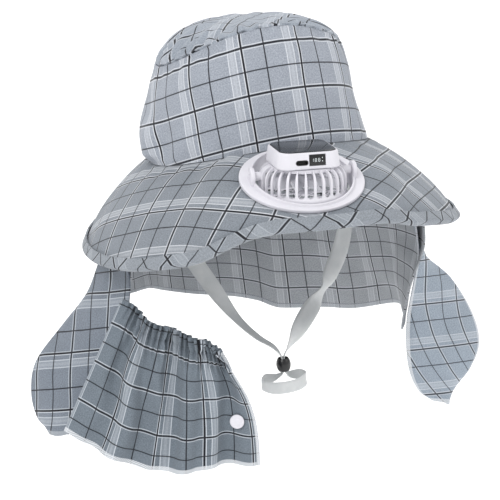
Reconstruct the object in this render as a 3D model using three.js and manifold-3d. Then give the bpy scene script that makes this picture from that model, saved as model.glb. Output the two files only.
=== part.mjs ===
// A solar fan hat: a bucket crown with a wide drooping brim, a neck flap with a cheek flap
// at each side, an unfastened face veil on the left, a chin strap with its bead, and a small
// solar fan that tilts in a bracket on the front of the brim.
// Millimetres, +Z up, the front towards -Y. The origin is the middle of the head opening.
import * as THREE from "three";
import { mergeVertices } from "three/addons/utils/BufferGeometryUtils.js";
import Module from "manifold-3d";

const wasm = await Module();
wasm.setup();

const DEGREE = Math.PI / 180;
const SEWN_GAP = 0.4; // between two pieces that are sewn or seated on each other

// Head opening and crown
const HEAD = { halfWidth: 88, halfLength: 98 };
const BASE_SEAM = { saddle: 5.6, frontRise: 3.2 }; // how the seam rises at the front and back
const CROWN = {
  sideHeight: 82.5, sideSaddle: 6.5, // it is taller at the front and back
  tipHeight: 102.5, cloth: 1.8,
  taper: 0.1, shoulder: 0.07, tipRound: 3.3, columns: 40,
};
const TIP_PUCKERS = { count: 11, depth: 4 };

// Brim
const BRIM = {
  overhang: 69.5, frontOverhang: 6.3, saddleOverhang: 8.3, // how far it reaches out from the crown
  droop: 57.7, saddleLift: 12, frontLift: 1.2, rightLift: 0.4, // how far its edge hangs down
  cloth: 2.6,
  crownSlope: 0.62, // share of its mean slope that it has beside the crown
  columns: 48, frontCrowding: 30,
};
const BRIM_ROWS = [1, 0.92, 0.7, 0.48, 0.26, 0.07, 0]; // shares of its width, from the edge to the crown
const BINDING = { width: 6.5, cloth: 1.1, ease: 1 };

// Neck flap, cheek flaps and veil
const NECK = {
  cloth: 1.3, reach: 142, drop: 182, seamShare: 0.48, folds: 6, foldDepth: 2.4,
  rightBulge: 13, // it stands out beside the right flap
};
const LEFT_FLAP = { cloth: 1.3, spread: 208, drop: 202, forward: 54, seamShare: 0.6, bulge: 5 };
const RIGHT_FLAP = { cloth: 1.3, spread: 179, drop: 237, forward: 42, seamShare: 0.6, bulge: 5 };
const VEIL = {
  cloth: 1.3, spread: 191, drop: 235, forward: 99,
  gathers: 7, gatherDepth: 1.5, folds: 3, foldDepth: 5, belly: 9,
};
const SNAP = { radius: 5.6, cap: 1.6, across: 0.9, up: 0.36 };

// Chin strap
const STRAP = { width: 14, cloth: 1.1, spread: 85.6, forward: 51, drop: 194 };
const BEAD = { radius: 5.9, halfHeight: 5.4, hole: 3.9, sides: 12 };

// Bracket and lock ring of the fan
const SEAT = { angle: -2.2, fromCrown: 3.6, roll: 4.2 }; // where it lies on the brim
const BRACKET = {
  halfWidth: 46, halfDepth: 41, plate: 3, opening: 36.4, sleeveWall: 1.6, collar: 2.4,
  earWidth: 13, earThickness: 3, pivotRise: 4,
};
const HOLE_CLEARANCE = 0.5;
const LOCK_RING = { width: 1.8, thickness: 2.4, ease: 0.75 }; // ease is its gap under the brim

// Fan head, measured from its pivot along its own axis
const FAN = {
  restTilt: -20.5, // against the bracket's plane
  radius: 32.2, bottom: -15.6, rimHeight: 4, wall: 1.8, // the outlet rim
  shoulderTop: -1.5, bendRadius: 29.6, bend: 4.4, topRadius: 24.5, top: 7, // the rounded shoulder
  slots: 30, slotWidth: 4.5, slotTop: 4.2, pin: 1.6, pinClearance: 0.35,
};
const BOX = { width: 47, depth: 45, height: 12, draft: 1.6, corner: 9 };
const PANEL = { margin: 1.4, thickness: 1.2 };
const DISPLAY = { width: 11.4, height: 7.4, thickness: 1.2, across: 4.6, lift: 0.6 };
const PORT = { width: 8.6, height: 3, depth: 5, across: -6.6, lift: -1 };
const IMPELLER = {
  radius: 26, hub: 8, height: 9, blades: 9, blade: 1.2, pitch: 38, shaft: 1.5, running: 0.4,
};
const GRILLE = { thickness: 1.6, bars: 6, barWidth: 1.5, hub: 7, ring: 19, ringWidth: 1.6, sides: 16 };

function finish(name, color, roughness) {
  return new THREE.MeshStandardMaterial({ name, color, roughness });
}

const cloth = finish("plaid_cloth", 0x98a3ad, 0.9);
const whitePlastic = finish("white_plastic", 0xecebf2, 0.4);
const blackPlastic = finish("black_plastic", 0x141517, 0.3);
const greyPlastic = finish("grey_plastic", 0xb9bbc2, 0.45);
const darkGlass = finish("solar_glass", 0x2c3036, 0.12);
const webbing = finish("strap_webbing", 0xb9bcc0, 0.75);

// Angles round the hat are in degrees from the front, positive towards +X.
function around(angle, halfWidth, halfLength, height) {
  const a = angle * DEGREE;
  return new THREE.Vector3(halfWidth * Math.sin(a), -halfLength * Math.cos(a), height);
}

function smooth(from, to, value) {
  const t = THREE.MathUtils.clamp((value - from) / (to - from), 0, 1);
  return t * t * (3 - 2 * t);
}

// A table's rows as objects, one value for each named column
function table(columns, rows) {
  return rows.map((row) => Object.fromEntries(columns.map((name, i) => [name, row[i]])));
}

// A smooth curve through a table's rows, each a point
function route(points) {
  return new THREE.CatmullRomCurve3(points, false, "centripetal");
}

// Flips a closed surface whose faces point inwards.
function facingOut(geometry) {
  const at = geometry.attributes.position;
  const index = geometry.index.array;
  const corner = (i) => new THREE.Vector3().fromBufferAttribute(at, index[i]);
  let volume = 0;
  for (let i = 0; i < index.length; i += 3) volume += corner(i).dot(corner(i + 1).cross(corner(i + 2)));
  if (volume < 0) geometry.setIndex(Array.from(index).reverse());
  return geometry;
}

function solidMesh(name, geometry, material) {
  const mesh = new THREE.Mesh(geometry, material);
  mesh.name = name;
  return mesh;
}

// A wall of cloth. at(u, v) gives its outer face for u and v from 0 to 1, and the cloth lies
// behind that face, where the cross product of the u and v directions points outwards.
function clothWall({ columns, rows, thickness, at, closed = false, pole = false }) {
  const step = 1e-3;
  const acrossCount = closed ? columns : columns + 1;
  const rowCount = pole ? rows : rows + 1;
  const wrap = (u) => (closed ? u : THREE.MathUtils.clamp(u, 0, 1));
  const outer = [];
  const inner = [];
  const behind = (u, v) => {
    const du = at(wrap(u + step), v).sub(at(wrap(u - step), v));
    const dv = at(u, Math.min(v + step, 1)).sub(at(u, Math.max(v - step, 0)));
    return at(u, v).addScaledVector(du.cross(dv).normalize(), -thickness);
  };
  for (let j = 0; j < rowCount; j++) {
    for (let i = 0; i < acrossCount; i++) {
      outer.push(at(i / columns, j / rows));
      inner.push(behind(i / columns, j / rows));
    }
  }
  const points = [...outer, ...inner];
  const shift = outer.length;
  const index = (i, j) => j * acrossCount + (closed ? i % columns : i);
  const faces = [];
  const quad = (a, b, c, d) => faces.push(a, b, c, a, c, d);
  for (let j = 0; j < rowCount - 1; j++) {
    for (let i = 0; i < columns; i++) {
      const [a, b, c, d] = [index(i, j), index(i + 1, j), index(i + 1, j + 1), index(i, j + 1)];
      quad(a, b, c, d);
      quad(shift + a, shift + d, shift + c, shift + b);
    }
  }
  for (let i = 0; i < columns; i++) {
    quad(index(i + 1, 0), index(i, 0), shift + index(i, 0), shift + index(i + 1, 0));
  }
  const last = rowCount - 1;
  if (pole) {
    const top = points.push(at(0, 1)) - 1;
    const under = points.push(at(0, 1).setZ(at(0, 1).z - thickness)) - 1;
    for (let i = 0; i < columns; i++) {
      faces.push(index(i, last), index(i + 1, last), top);
      faces.push(shift + index(i, last), under, shift + index(i + 1, last));
    }
  } else {
    for (let i = 0; i < columns; i++) {
      quad(index(i, last), index(i + 1, last), shift + index(i + 1, last), shift + index(i, last));
    }
  }
  if (!closed) {
    for (let j = 0; j < last; j++) {
      quad(index(0, j), index(0, j + 1), shift + index(0, j + 1), shift + index(0, j));
      const e = columns;
      quad(index(e, j + 1), index(e, j), shift + index(e, j), shift + index(e, j + 1));
    }
  }
  const geometry = new THREE.BufferGeometry();
  const flat = points.flatMap((p) => p.toArray());
  geometry.setAttribute("position", new THREE.Float32BufferAttribute(flat, 3));
  geometry.setIndex(faces);
  return geometry;
}

// A loop of points swept along a list of sections, each a list of Vector3 in the same order
function loft(sections, closed = false) {
  const count = sections[0].length;
  const faces = [];
  const steps = closed ? sections.length : sections.length - 1;
  for (let s = 0; s < steps; s++) {
    const next = (s + 1) % sections.length;
    for (let i = 0; i < count; i++) {
      const j = (i + 1) % count;
      const [a, b, c, d] = [s * count + i, s * count + j, next * count + j, next * count + i];
      faces.push(a, b, c, a, c, d);
    }
  }
  if (!closed) {
    const end = (sections.length - 1) * count;
    for (let i = 1; i < count - 1; i++) {
      faces.push(0, i + 1, i);
      faces.push(end, end + i, end + i + 1);
    }
  }
  const geometry = new THREE.BufferGeometry();
  const flat = sections.flat().flatMap((p) => p.toArray());
  geometry.setAttribute("position", new THREE.Float32BufferAttribute(flat, 3));
  geometry.setIndex(faces);
  return facingOut(geometry);
}

function toSolid(geometry) {
  const bare = geometry.clone();
  bare.deleteAttribute("normal");
  bare.deleteAttribute("uv");
  const merged = mergeVertices(bare, 1e-4);
  return new wasm.Manifold(new wasm.Mesh({
    numProp: 3,
    vertProperties: merged.attributes.position.array,
    triVerts: new Uint32Array(merged.index.array),
  }));
}

function toGeometry(solid) {
  const mesh = solid.getMesh();
  const geometry = new THREE.BufferGeometry();
  geometry.setAttribute("position", new THREE.BufferAttribute(mesh.vertProperties, 3));
  geometry.setIndex(new THREE.BufferAttribute(mesh.triVerts, 1));
  return geometry;
}

// The first closed geometry less the second
function cut(from, away) {
  return toGeometry(toSolid(from).subtract(toSolid(away)));
}

function cylinder(radius, from, to, sides = 40) {
  return new THREE.CylinderGeometry(radius, radius, to - from, sides)
    .rotateX(Math.PI / 2)
    .translate(0, 0, (from + to) / 2);
}

// A rectangle with round corners
function roundedOutline(width, depth, corner) {
  const shape = new THREE.Shape();
  const [w, d] = [width / 2, depth / 2];
  shape.moveTo(-w + corner, -d);
  shape.lineTo(w - corner, -d);
  shape.absarc(w - corner, -d + corner, corner, -Math.PI / 2, 0);
  shape.lineTo(w, d - corner);
  shape.absarc(w - corner, d - corner, corner, 0, Math.PI / 2);
  shape.lineTo(-w + corner, d);
  shape.absarc(-w + corner, d - corner, corner, Math.PI / 2, Math.PI);
  shape.lineTo(-w, -d + corner);
  shape.absarc(-w + corner, -d + corner, corner, Math.PI, 1.5 * Math.PI);
  return shape;
}

function roundedPlate(width, depth, height, corner) {
  return new THREE.ExtrudeGeometry(roundedOutline(width, depth, corner), {
    depth: height, bevelEnabled: false, curveSegments: 2,
  });
}

// Base seam, where the crown meets the brim: the front and back rise above the sides.
function seamHeight(angle) {
  const a = angle * DEGREE;
  return BASE_SEAM.saddle * Math.cos(2 * a) + BASE_SEAM.frontRise * Math.cos(a);
}

// Soft dents and, where the depth is negative, bulges of the crown's side: the height and the
// reach up it are shares of its height, the depth is a share of the head's half width.
const CROWN_DENTS = [
  { angle: -100, height: 0.32, depth: -0.085, spread: 30, tall: 0.55 },
  { angle: -92, height: 0.55, depth: 0.035, spread: 11, tall: 0.14 },
  { angle: -70, height: 0.18, depth: 0.045, spread: 7, tall: 0.28 },
  { angle: -84, height: 0.2, depth: -0.03, spread: 8, tall: 0.3 },
  { angle: 80, height: 0.5, depth: 0.03, spread: 30, tall: 0.35 },
  { angle: 28, height: 0.95, depth: 0.022, spread: 9, tall: 0.12 },
  { angle: -40, height: 0.97, depth: 0.025, spread: 9, tall: 0.12 },
  { angle: 150, height: 0.5, depth: 0.03, spread: 16, tall: 0.3 },
  { angle: -150, height: 0.35, depth: 0.025, spread: 12, tall: 0.35 },
];

function turnBetween(a, b) {
  return ((((a - b) % 360) + 540) % 360) - 180;
}

function dentDepth(angle, share) {
  return CROWN_DENTS.reduce((sum, d) => {
    const across = turnBetween(angle, d.angle) / d.spread;
    const up = (share - d.height) / d.tall;
    return sum + HEAD.halfWidth * d.depth * Math.exp(-across * across - up * up);
  }, 0);
}

function crownPoint(angle, share) {
  const narrow = 1 - CROWN.taper * share - CROWN.shoulder * share ** 4;
  const dent = dentDepth(angle, share) * smooth(0, 0.12, share);
  const height = CROWN.sideHeight + CROWN.sideSaddle * Math.cos(2 * angle * DEGREE);
  const z = seamHeight(angle) + height * share;
  return around(angle, HEAD.halfWidth * narrow - dent, HEAD.halfLength * narrow - dent, z);
}

function crownSide() {
  return clothWall({
    columns: CROWN.columns, rows: 4, closed: true, thickness: CROWN.cloth,
    at: (u, v) => {
      const p = crownPoint(u * 360, v);
      return p.setZ(p.z + SEWN_GAP);
    },
  });
}

// The tip is a shallow dome over the side's upper edge, with a few puckers from its seam.
function tipPoint(angle, share) {
  const edge = crownPoint(angle, 1);
  const wave = Math.cos(TIP_PUCKERS.count * angle * DEGREE);
  const pucker = TIP_PUCKERS.depth * wave * share ** 2 * (1 - share ** 4);
  const seat = edge.z + SEWN_GAP + CROWN.cloth;
  const z = seat + (CROWN.tipHeight - seat) * (1 - share ** CROWN.tipRound) - pucker;
  return new THREE.Vector3(edge.x * share, edge.y * share, z);
}

function crownTip() {
  return clothWall({
    columns: CROWN.columns, rows: 3, closed: true, pole: true, thickness: CROWN.cloth,
    at: (u, v) => tipPoint(u * 360, 1 - v),
  });
}

// Brim: share 0 lies at the crown and share 1 at the edge. The waves are soft rises of its edge.
const EDGE_WAVES = [
  { angle: 8, rise: 0.07, spread: 26 },
  { angle: -48, rise: -0.05, spread: 22 },
  { angle: -92, rise: 0.03, spread: 20 },
  { angle: 52, rise: -0.05, spread: 20 },
  { angle: 135, rise: -0.05, spread: 24 },
  { angle: -140, rise: -0.05, spread: 24 },
];

function brimSurface(angle, share) {
  const a = angle * DEGREE;
  const out = BRIM.overhang + BRIM.frontOverhang * Math.cos(a) + BRIM.saddleOverhang * Math.cos(2 * a);
  const edge = -BRIM.droop + BRIM.saddleLift * Math.cos(2 * a) + BRIM.frontLift * Math.cos(a)
    + BRIM.rightLift * Math.sin(a);
  const wave = EDGE_WAVES.reduce((sum, w) => {
    const away = turnBetween(angle, w.angle) / w.spread;
    return sum + BRIM.droop * w.rise * Math.exp(-away * away);
  }, 0);
  const fall = BRIM.crownSlope * share + (1 - BRIM.crownSlope) * share ** 3;
  const base = seamHeight(angle);
  const z = base + (edge - base) * fall + wave * share ** 2;
  return around(angle, HEAD.halfWidth + out * share, HEAD.halfLength + out * share, z);
}

// The bracket's plane rests on the brim between its own front and back.
const bracketBack = brimSurface(SEAT.angle, 0.03);
const bracketFront = brimSurface(SEAT.angle, 0.6);
const brimSlope = Math.atan2(bracketBack.z - bracketFront.z, bracketBack.y - bracketFront.y);
const bracketFrame = new THREE.Matrix4()
  .makeRotationZ(SEAT.angle * DEGREE)
  .multiply(new THREE.Matrix4().makeRotationX(brimSlope))
  .multiply(new THREE.Matrix4().makeRotationY(SEAT.roll * DEGREE));
const bracketCentre = new THREE.Vector3(0, -SEAT.fromCrown - BRACKET.halfDepth, 0)
  .applyMatrix4(bracketFrame)
  .add(brimSurface(SEAT.angle, 0));
bracketFrame.setPosition(bracketCentre);
const toBracket = bracketFrame.clone().invert();

// The stiff bracket presses the cloth flat over its own footprint.
function brimPoint(angle, share) {
  const p = brimSurface(angle, share).applyMatrix4(toBracket);
  const away = Math.hypot(p.x / BRACKET.halfWidth, p.y / BRACKET.halfDepth);
  const flat = p.z > -BRACKET.halfDepth ? 1 - smooth(1.12, 1.95, away) : 0;
  p.z *= 1 - flat * smooth(0, 0.11, share);
  return p.applyMatrix4(bracketFrame);
}

// A point under the brim's cloth, measured square to it
function brimUnder(angle, share, below) {
  const turn = 0.4;
  const along = 0.01;
  const du = brimPoint(angle + turn, share).sub(brimPoint(angle - turn, share));
  const dv = brimPoint(angle, share - along).sub(brimPoint(angle, share + along));
  return brimPoint(angle, share).addScaledVector(du.cross(dv).normalize(), -below);
}

// The columns of the brim's cloth lie closer together at the front, under the bracket.
function brimAngle(u) {
  return 360 * u - BRIM.frontCrowding * Math.sin(2 * Math.PI * u);
}

function brim() {
  const inset = CROWN.cloth;
  const sheet = clothWall({
    columns: BRIM.columns, rows: BRIM_ROWS.length - 1, closed: true, thickness: BRIM.cloth,
    at: (u, v) => {
      const row = v * (BRIM_ROWS.length - 1);
      const [from, to] = [BRIM_ROWS[Math.floor(row)], BRIM_ROWS[Math.ceil(row)]];
      const p = brimPoint(brimAngle(u), THREE.MathUtils.lerp(from, to, row % 1));
      return v < 1 ? p : around(brimAngle(u), HEAD.halfWidth - inset, HEAD.halfLength - inset, p.z);
    },
  });
  const radius = BRACKET.opening + BRACKET.sleeveWall + HOLE_CLEARANCE;
  const reach = 3 * BRIM.cloth;
  return cut(sheet, cylinder(radius, -reach, reach).applyMatrix4(bracketFrame));
}

// Binding: a folded strip round the brim's edge, open towards the crown
function brimBinding() {
  const sections = [];
  for (let i = 0; i < BRIM.columns; i++) {
    const angle = brimAngle(i / BRIM.columns);
    const edge = brimPoint(angle, 1);
    const inward = brimPoint(angle, BRIM_ROWS[1]).sub(edge).normalize();
    const ahead = brimPoint(angle + 0.5, 1).sub(brimPoint(angle - 0.5, 1)).normalize();
    const up = ahead.clone().cross(inward).normalize();
    const at = (along, rise) => edge.clone().addScaledVector(inward, along).addScaledVector(up, rise);
    const [top, under] = [BINDING.ease, -BRIM.cloth - BINDING.ease];
    const t = BINDING.cloth;
    const [open, fold] = [BINDING.width, -BINDING.ease];
    sections.push([
      at(open, top), at(open, top + t), at(fold - t, top), at(fold - t, under),
      at(open, under - t), at(open, under), at(fold, under), at(fold, top),
    ]);
  }
  return loft(sections, true);
}

// A smooth value between a table's rows
function fromTable(table, key, column, value) {
  let i = 1;
  while (i < table.length - 1 && table[i][key] < value) i++;
  const row = (n) => table[THREE.MathUtils.clamp(n, 0, table.length - 1)];
  const [p0, p1, p2, p3] = [row(i - 2), row(i - 1), row(i), row(i + 1)];
  const width = p2[key] - p1[key];
  const t = THREE.MathUtils.clamp((value - p1[key]) / width, 0, 1);
  const slope = (a, b) => (width * (b[column] - a[column])) / (b[key] - a[key]);
  const cubic = t * t * (3 - 2 * t);
  return p1[column] * (1 - cubic) + p2[column] * cubic
    + slope(p0, p2) * t * (1 - t) ** 2 - slope(p1, p3) * t * t * (1 - t);
}

// Neck flap: it is sewn under the brim and its hem goes round the back, from the front edge
// on the left to the front edge on the right.
const NECK_HEM = table(["turn", "reach", "drop"], [
  [70, 0.935, 0.505],
  [90, 0.873, 0.6],
  [110, 0.824, 0.654],
  [123, 0.79, 0.672],
  [152, 0.8, 0.785],
  [187, 0.81, 0.9],
  [197, 0.89, 0.966],
  [218, 1, 1],
  [228, 1, 0.99],
  [252, 0.923, 0.918],
  [268, 0.831, 0.91],
  [284, 0.75, 0.935],
]);

function neckPoint(u, v) {
  const turn = THREE.MathUtils.lerp(NECK_HEM[0].turn, NECK_HEM.at(-1).turn, u);
  const free = smooth(0, 0.15, u) * smooth(1, 0.85, u);
  const fold = NECK.foldDepth * Math.cos(2 * Math.PI * NECK.folds * u) * v * free;
  const reach = NECK.reach * fromTable(NECK_HEM, "turn", "reach", turn) + fold;
  const drop = NECK.drop * fromTable(NECK_HEM, "turn", "drop", turn);
  const bulge = NECK.rightBulge * Math.sin(Math.PI * v) * (1 - v * v) * smooth(0.8, 1, u);
  const top = brimUnder(-turn, NECK.seamShare, BRIM.cloth + 2 * SEWN_GAP);
  return top.lerp(around(-turn, reach, reach, -drop), v).add(around(-turn, bulge, bulge, 0));
}

function neckFlap() {
  return clothWall({ columns: 36, rows: 4, thickness: NECK.cloth, at: neckPoint });
}

// A cheek flap hangs from under the brim. The rows go down it, and give the place of its front
// edge and of its rear edge as shares of its spread, its reach forward and its drop.
const FLAP_COLUMNS = ["down", "frontOut", "frontAhead", "frontDrop", "rearOut", "rearAhead", "rearDrop"];
const LEFT_ROWS = table(FLAP_COLUMNS, [
  [0.25, 0.596, 0.778, 0.371, 0.659, -0.407, 0.406],
  [0.38, 0.606, 0.889, 0.47, 0.726, -0.407, 0.535],
  [0.52, 0.639, 0.926, 0.589, 0.841, -0.296, 0.644],
  [0.68, 0.697, 0.926, 0.718, 0.962, -0.148, 0.762],
  [0.82, 0.769, 0.926, 0.847, 1, 0, 0.871],
  [0.93, 0.841, 0.963, 0.931, 0.995, 0.222, 0.965],
  [1, 0.899, 1, 0.98, 0.962, 0.556, 1],
]);
const RIGHT_ROWS = table(FLAP_COLUMNS, [
  [0.3, 0.698, 0.476, 0.409, 0.782, -0.476, 0.451],
  [0.4, 0.69, 0.524, 0.47, 0.81, -0.333, 0.519],
  [0.52, 0.648, 0.619, 0.561, 0.916, -0.238, 0.603],
  [0.65, 0.598, 0.714, 0.671, 0.994, -0.048, 0.734],
  [0.77, 0.575, 0.81, 0.764, 1, 0.19, 0.84],
  [0.88, 0.575, 0.905, 0.865, 0.916, 0.476, 0.916],
  [0.95, 0.609, 0.952, 0.937, 0.804, 0.762, 0.962],
  [1, 0.665, 1, 0.975, 0.737, 1, 1],
]);
const LEFT_SEAM = { front: -70, rear: -104 };
const RIGHT_SEAM = { front: 80, rear: 106 };

// back runs from 0 at the front edge to 1 at the rear edge, down from the seam to the hem.
function flapPoint(flap, rows, seam, side, back, down) {
  const first = rows[0].down;
  const at = Math.max(down, first);
  const mix = (front, rear) => THREE.MathUtils.lerp(
    fromTable(rows, "down", front, at),
    fromTable(rows, "down", rear, at),
    back,
  );
  const bulge = flap.bulge * Math.sin(Math.PI * back) * smooth(0, 1, down);
  const body = new THREE.Vector3(
    side * (flap.spread * mix("frontOut", "rearOut") + bulge),
    -flap.forward * mix("frontAhead", "rearAhead") - bulge,
    -flap.drop * mix("frontDrop", "rearDrop"),
  );
  const angle = THREE.MathUtils.lerp(seam.front, seam.rear, back);
  const top = brimUnder(angle, flap.seamShare, BRIM.cloth + 2 * SEWN_GAP);
  return top.lerp(body, Math.min(1, down / first));
}

function leftPoint(back, down) {
  return flapPoint(LEFT_FLAP, LEFT_ROWS, LEFT_SEAM, -1, back, down);
}

function leftFlap() {
  return clothWall({ columns: 8, rows: 12, thickness: LEFT_FLAP.cloth, at: leftPoint });
}

function rightFlap() {
  const at = (u, v) => flapPoint(RIGHT_FLAP, RIGHT_ROWS, RIGHT_SEAM, 1, 1 - u, v);
  return clothWall({ columns: 8, rows: 12, thickness: RIGHT_FLAP.cloth, at });
}

// Veil: it is sewn to the front edge of the left flap, turns back over it in a fold and hangs
// free to the right. The rows go along its gathered top and its hem.
const VEIL_COLUMNS = ["turn", "topOut", "topAhead", "topDrop", "hemOut", "hemAhead", "hemDrop"];
const VEIL_ROWS = table(VEIL_COLUMNS, [
  [0, 0.667, 0.499, 0.43, 0.974, 0.554, 0.842],
  [0.1, 0.702, 0.6, 0.41, 1, 0.62, 0.82],
  [0.2, 0.66, 0.66, 0.43, 0.932, 0.7, 0.86],
  [0.34, 0.607, 0.71, 0.487, 0.838, 0.79, 0.91],
  [0.5, 0.53, 0.76, 0.514, 0.69, 0.88, 0.972],
  [0.67, 0.46, 0.82, 0.548, 0.54, 0.94, 0.987],
  [0.84, 0.4, 0.88, 0.568, 0.39, 0.98, 0.987],
  [1, 0.356, 0.93, 0.613, 0.25, 1, 1],
]);

function veilPoint(along, up) {
  const side = (out, ahead, drop) => new THREE.Vector3(
    -VEIL.spread * fromTable(VEIL_ROWS, "turn", out, along),
    -VEIL.forward * fromTable(VEIL_ROWS, "turn", ahead, along),
    -VEIL.drop * fromTable(VEIL_ROWS, "turn", drop, along),
  );
  const p = side("hemOut", "hemAhead", "hemDrop").lerp(side("topOut", "topAhead", "topDrop"), up);
  const free = smooth(0.14, 0.3, along) * smooth(1.05, 0.8, along);
  const gather = VEIL.gatherDepth * Math.cos(2 * Math.PI * VEIL.gathers * along) * smooth(0.55, 1, up);
  const fold = VEIL.foldDepth * Math.cos(2 * Math.PI * VEIL.folds * (along - 0.05 * up)) * (1 - 0.6 * up);
  const belly = VEIL.belly * Math.sin(Math.PI * up) * smooth(0.6, 1, along);
  return p.add(new THREE.Vector3(belly, -free * (gather + fold), 0));
}

function faceVeil() {
  const at = (u, v) => veilPoint(1 - u, 1 - v);
  return clothWall({ columns: 28, rows: 5, thickness: VEIL.cloth, at });
}

// A snap button on the veil's free corner
function snapButton() {
  const step = 0.01;
  const at = veilPoint(SNAP.across, SNAP.up);
  const du = veilPoint(SNAP.across + step, SNAP.up).sub(veilPoint(SNAP.across - step, SNAP.up));
  const dv = veilPoint(SNAP.across, SNAP.up + step).sub(veilPoint(SNAP.across, SNAP.up - step));
  const out = du.cross(dv).normalize();
  const round = 0.5;
  const { radius, cap } = SNAP;
  const profile = [[0, 0], [radius, 0], [radius, cap - round], [radius - round, cap], [0, cap]];
  const turn = new THREE.Quaternion().setFromUnitVectors(new THREE.Vector3(0, 1, 0), out);
  const seat = at.addScaledVector(out, 2 * SEWN_GAP);
  return new THREE.LatheGeometry(profile.map(([x, y]) => new THREE.Vector2(x, y)), 14)
    .applyQuaternion(turn)
    .translate(seat.x, seat.y, seat.z);
}

// Chin strap: one flat band from the left of the head opening down through the bead, round a
// small loop below it, up through the bead again and to the right. Its places are shares of its
// spread, reach forward and drop. face is the turn of its width about the vertical, in degrees
// from +X, and lean is how far its width stands up.
const STRAP_ROUTE = table(["out", "ahead", "up", "face", "lean", "width"], [
  [-1, 0.039, -0.048, -85, 0, 1],
  [-0.935, -0.059, -0.206, -50, 0, 1],
  [-0.794, -0.176, -0.412, -12, 0, 1],
  [-0.607, -0.314, -0.577, 0, 0, 0.95],
  [-0.432, -0.49, -0.711, 25, 0, 0.65],
  [-0.292, -0.745, -0.781, 45, 0, 0.6],
  [-0.169, -0.922, -0.822, 60, 0, 0.5],
  [-0.119, -1, -0.861, 80, 0, 0.32],
  [-0.117, -1, -0.928, 80, 0, 0.32],
  [-0.175, -0.922, -0.951, 60, 35, 0.45],
  [-0.28, -0.902, -0.956, 20, 75, 0.62],
  [-0.327, -0.99, -0.966, -90, 84, 0.7],
  [-0.257, -1.098, -0.979, -180, 84, 0.72],
  [-0.117, -1.137, -0.985, -180, 84, 0.72],
  [0.023, -1.118, -0.979, -180, 84, 0.72],
  [0.098, -1, -0.969, -270, 84, 0.7],
  [0.058, -0.902, -0.959, -340, 75, 0.62],
  [-0.035, -0.922, -0.951, -300, 35, 0.45],
  [-0.093, -1, -0.928, -280, 0, 0.32],
  [-0.091, -1, -0.861, -280, 0, 0.32],
  [-0.041, -0.98, -0.827, -310, 0, 0.5],
  [0.093, -0.863, -0.768, -350, 0, 0.9],
  [0.257, -0.706, -0.701, -365, 0, 1],
  [0.421, -0.549, -0.639, -320, 0, 0.6],
  [0.526, -0.431, -0.588, -350, 0, 0.9],
  [0.701, -0.235, -0.479, -355, 0, 1],
  [0.888, -0.039, -0.247, -315, 0, 1],
  [1, 0.039, -0.048, -275, 0, 1],
]);
const STRAP_STEPS = 64;

function strapAt(t) {
  const rows = STRAP_ROUTE.map((p, i) => ({ ...p, row: i }));
  const scale = new THREE.Vector3(STRAP.spread, STRAP.forward, STRAP.drop);
  const path = route(rows.map((p) => new THREE.Vector3(p.out, p.ahead, p.up).multiply(scale)));
  const row = t * (rows.length - 1);
  const face = fromTable(rows, "row", "face", row) * DEGREE;
  const lean = fromTable(rows, "row", "lean", row) * DEGREE;
  const ahead = path.getTangent(t);
  const flat = Math.cos(lean);
  const wide = new THREE.Vector3(flat * Math.cos(face), flat * Math.sin(face), Math.sin(lean));
  wide.addScaledVector(ahead, -wide.dot(ahead)).normalize();
  wide.multiplyScalar((STRAP.width / 2) * fromTable(rows, "row", "width", row));
  const deep = wide.clone().cross(ahead).normalize().multiplyScalar(STRAP.cloth / 2);
  return { centre: path.getPoint(t), wide, deep };
}

function chinStrap() {
  const sections = [];
  for (let i = 0; i <= STRAP_STEPS; i++) {
    const { centre, wide, deep } = strapAt(i / STRAP_STEPS);
    const corner = (w, d) => centre.clone().addScaledVector(wide, w).addScaledVector(deep, d);
    sections.push([corner(-1, -1), corner(1, -1), corner(1, 1), corner(-1, 1)]);
  }
  return loft(sections);
}

// The bead slides on both halves of the band.
const BEAD_PLACE = new THREE.Vector3(-0.105 * STRAP.spread, -STRAP.forward, -0.8945 * STRAP.drop);

function strapBead() {
  const points = [];
  const levels = 5;
  for (let i = 0; i <= levels; i++) {
    const rise = -1 + (2 * i) / levels;
    const radius = BEAD.radius * Math.sqrt(1 - (rise * 0.72) ** 2);
    points.push(new THREE.Vector2(radius, rise * BEAD.halfHeight));
  }
  points.push(new THREE.Vector2(BEAD.hole, BEAD.halfHeight));
  points.push(new THREE.Vector2(BEAD.hole, -BEAD.halfHeight));
  points.push(points[0].clone());
  return new THREE.LatheGeometry(points, BEAD.sides)
    .rotateX(Math.PI / 2)
    .translate(BEAD_PLACE.x, BEAD_PLACE.y, BEAD_PLACE.z);
}

// Bracket: an oval plate on the brim with a collar, a sleeve down through the hole and two ears
const PLATE_TOP = SEWN_GAP + BRACKET.plate;
const SLEEVE_OUTER = BRACKET.opening + BRACKET.sleeveWall;
const SLEEVE_BOTTOM = -BRIM.cloth - LOCK_RING.ease - SEWN_GAP - LOCK_RING.thickness;
const PIVOT_HEIGHT = PLATE_TOP + BRACKET.pivotRise;

function lathe(profile, sides) {
  const points = profile.map(([radius, height]) => new THREE.Vector2(radius, height));
  return new THREE.LatheGeometry(points, sides).rotateX(Math.PI / 2);
}

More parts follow.
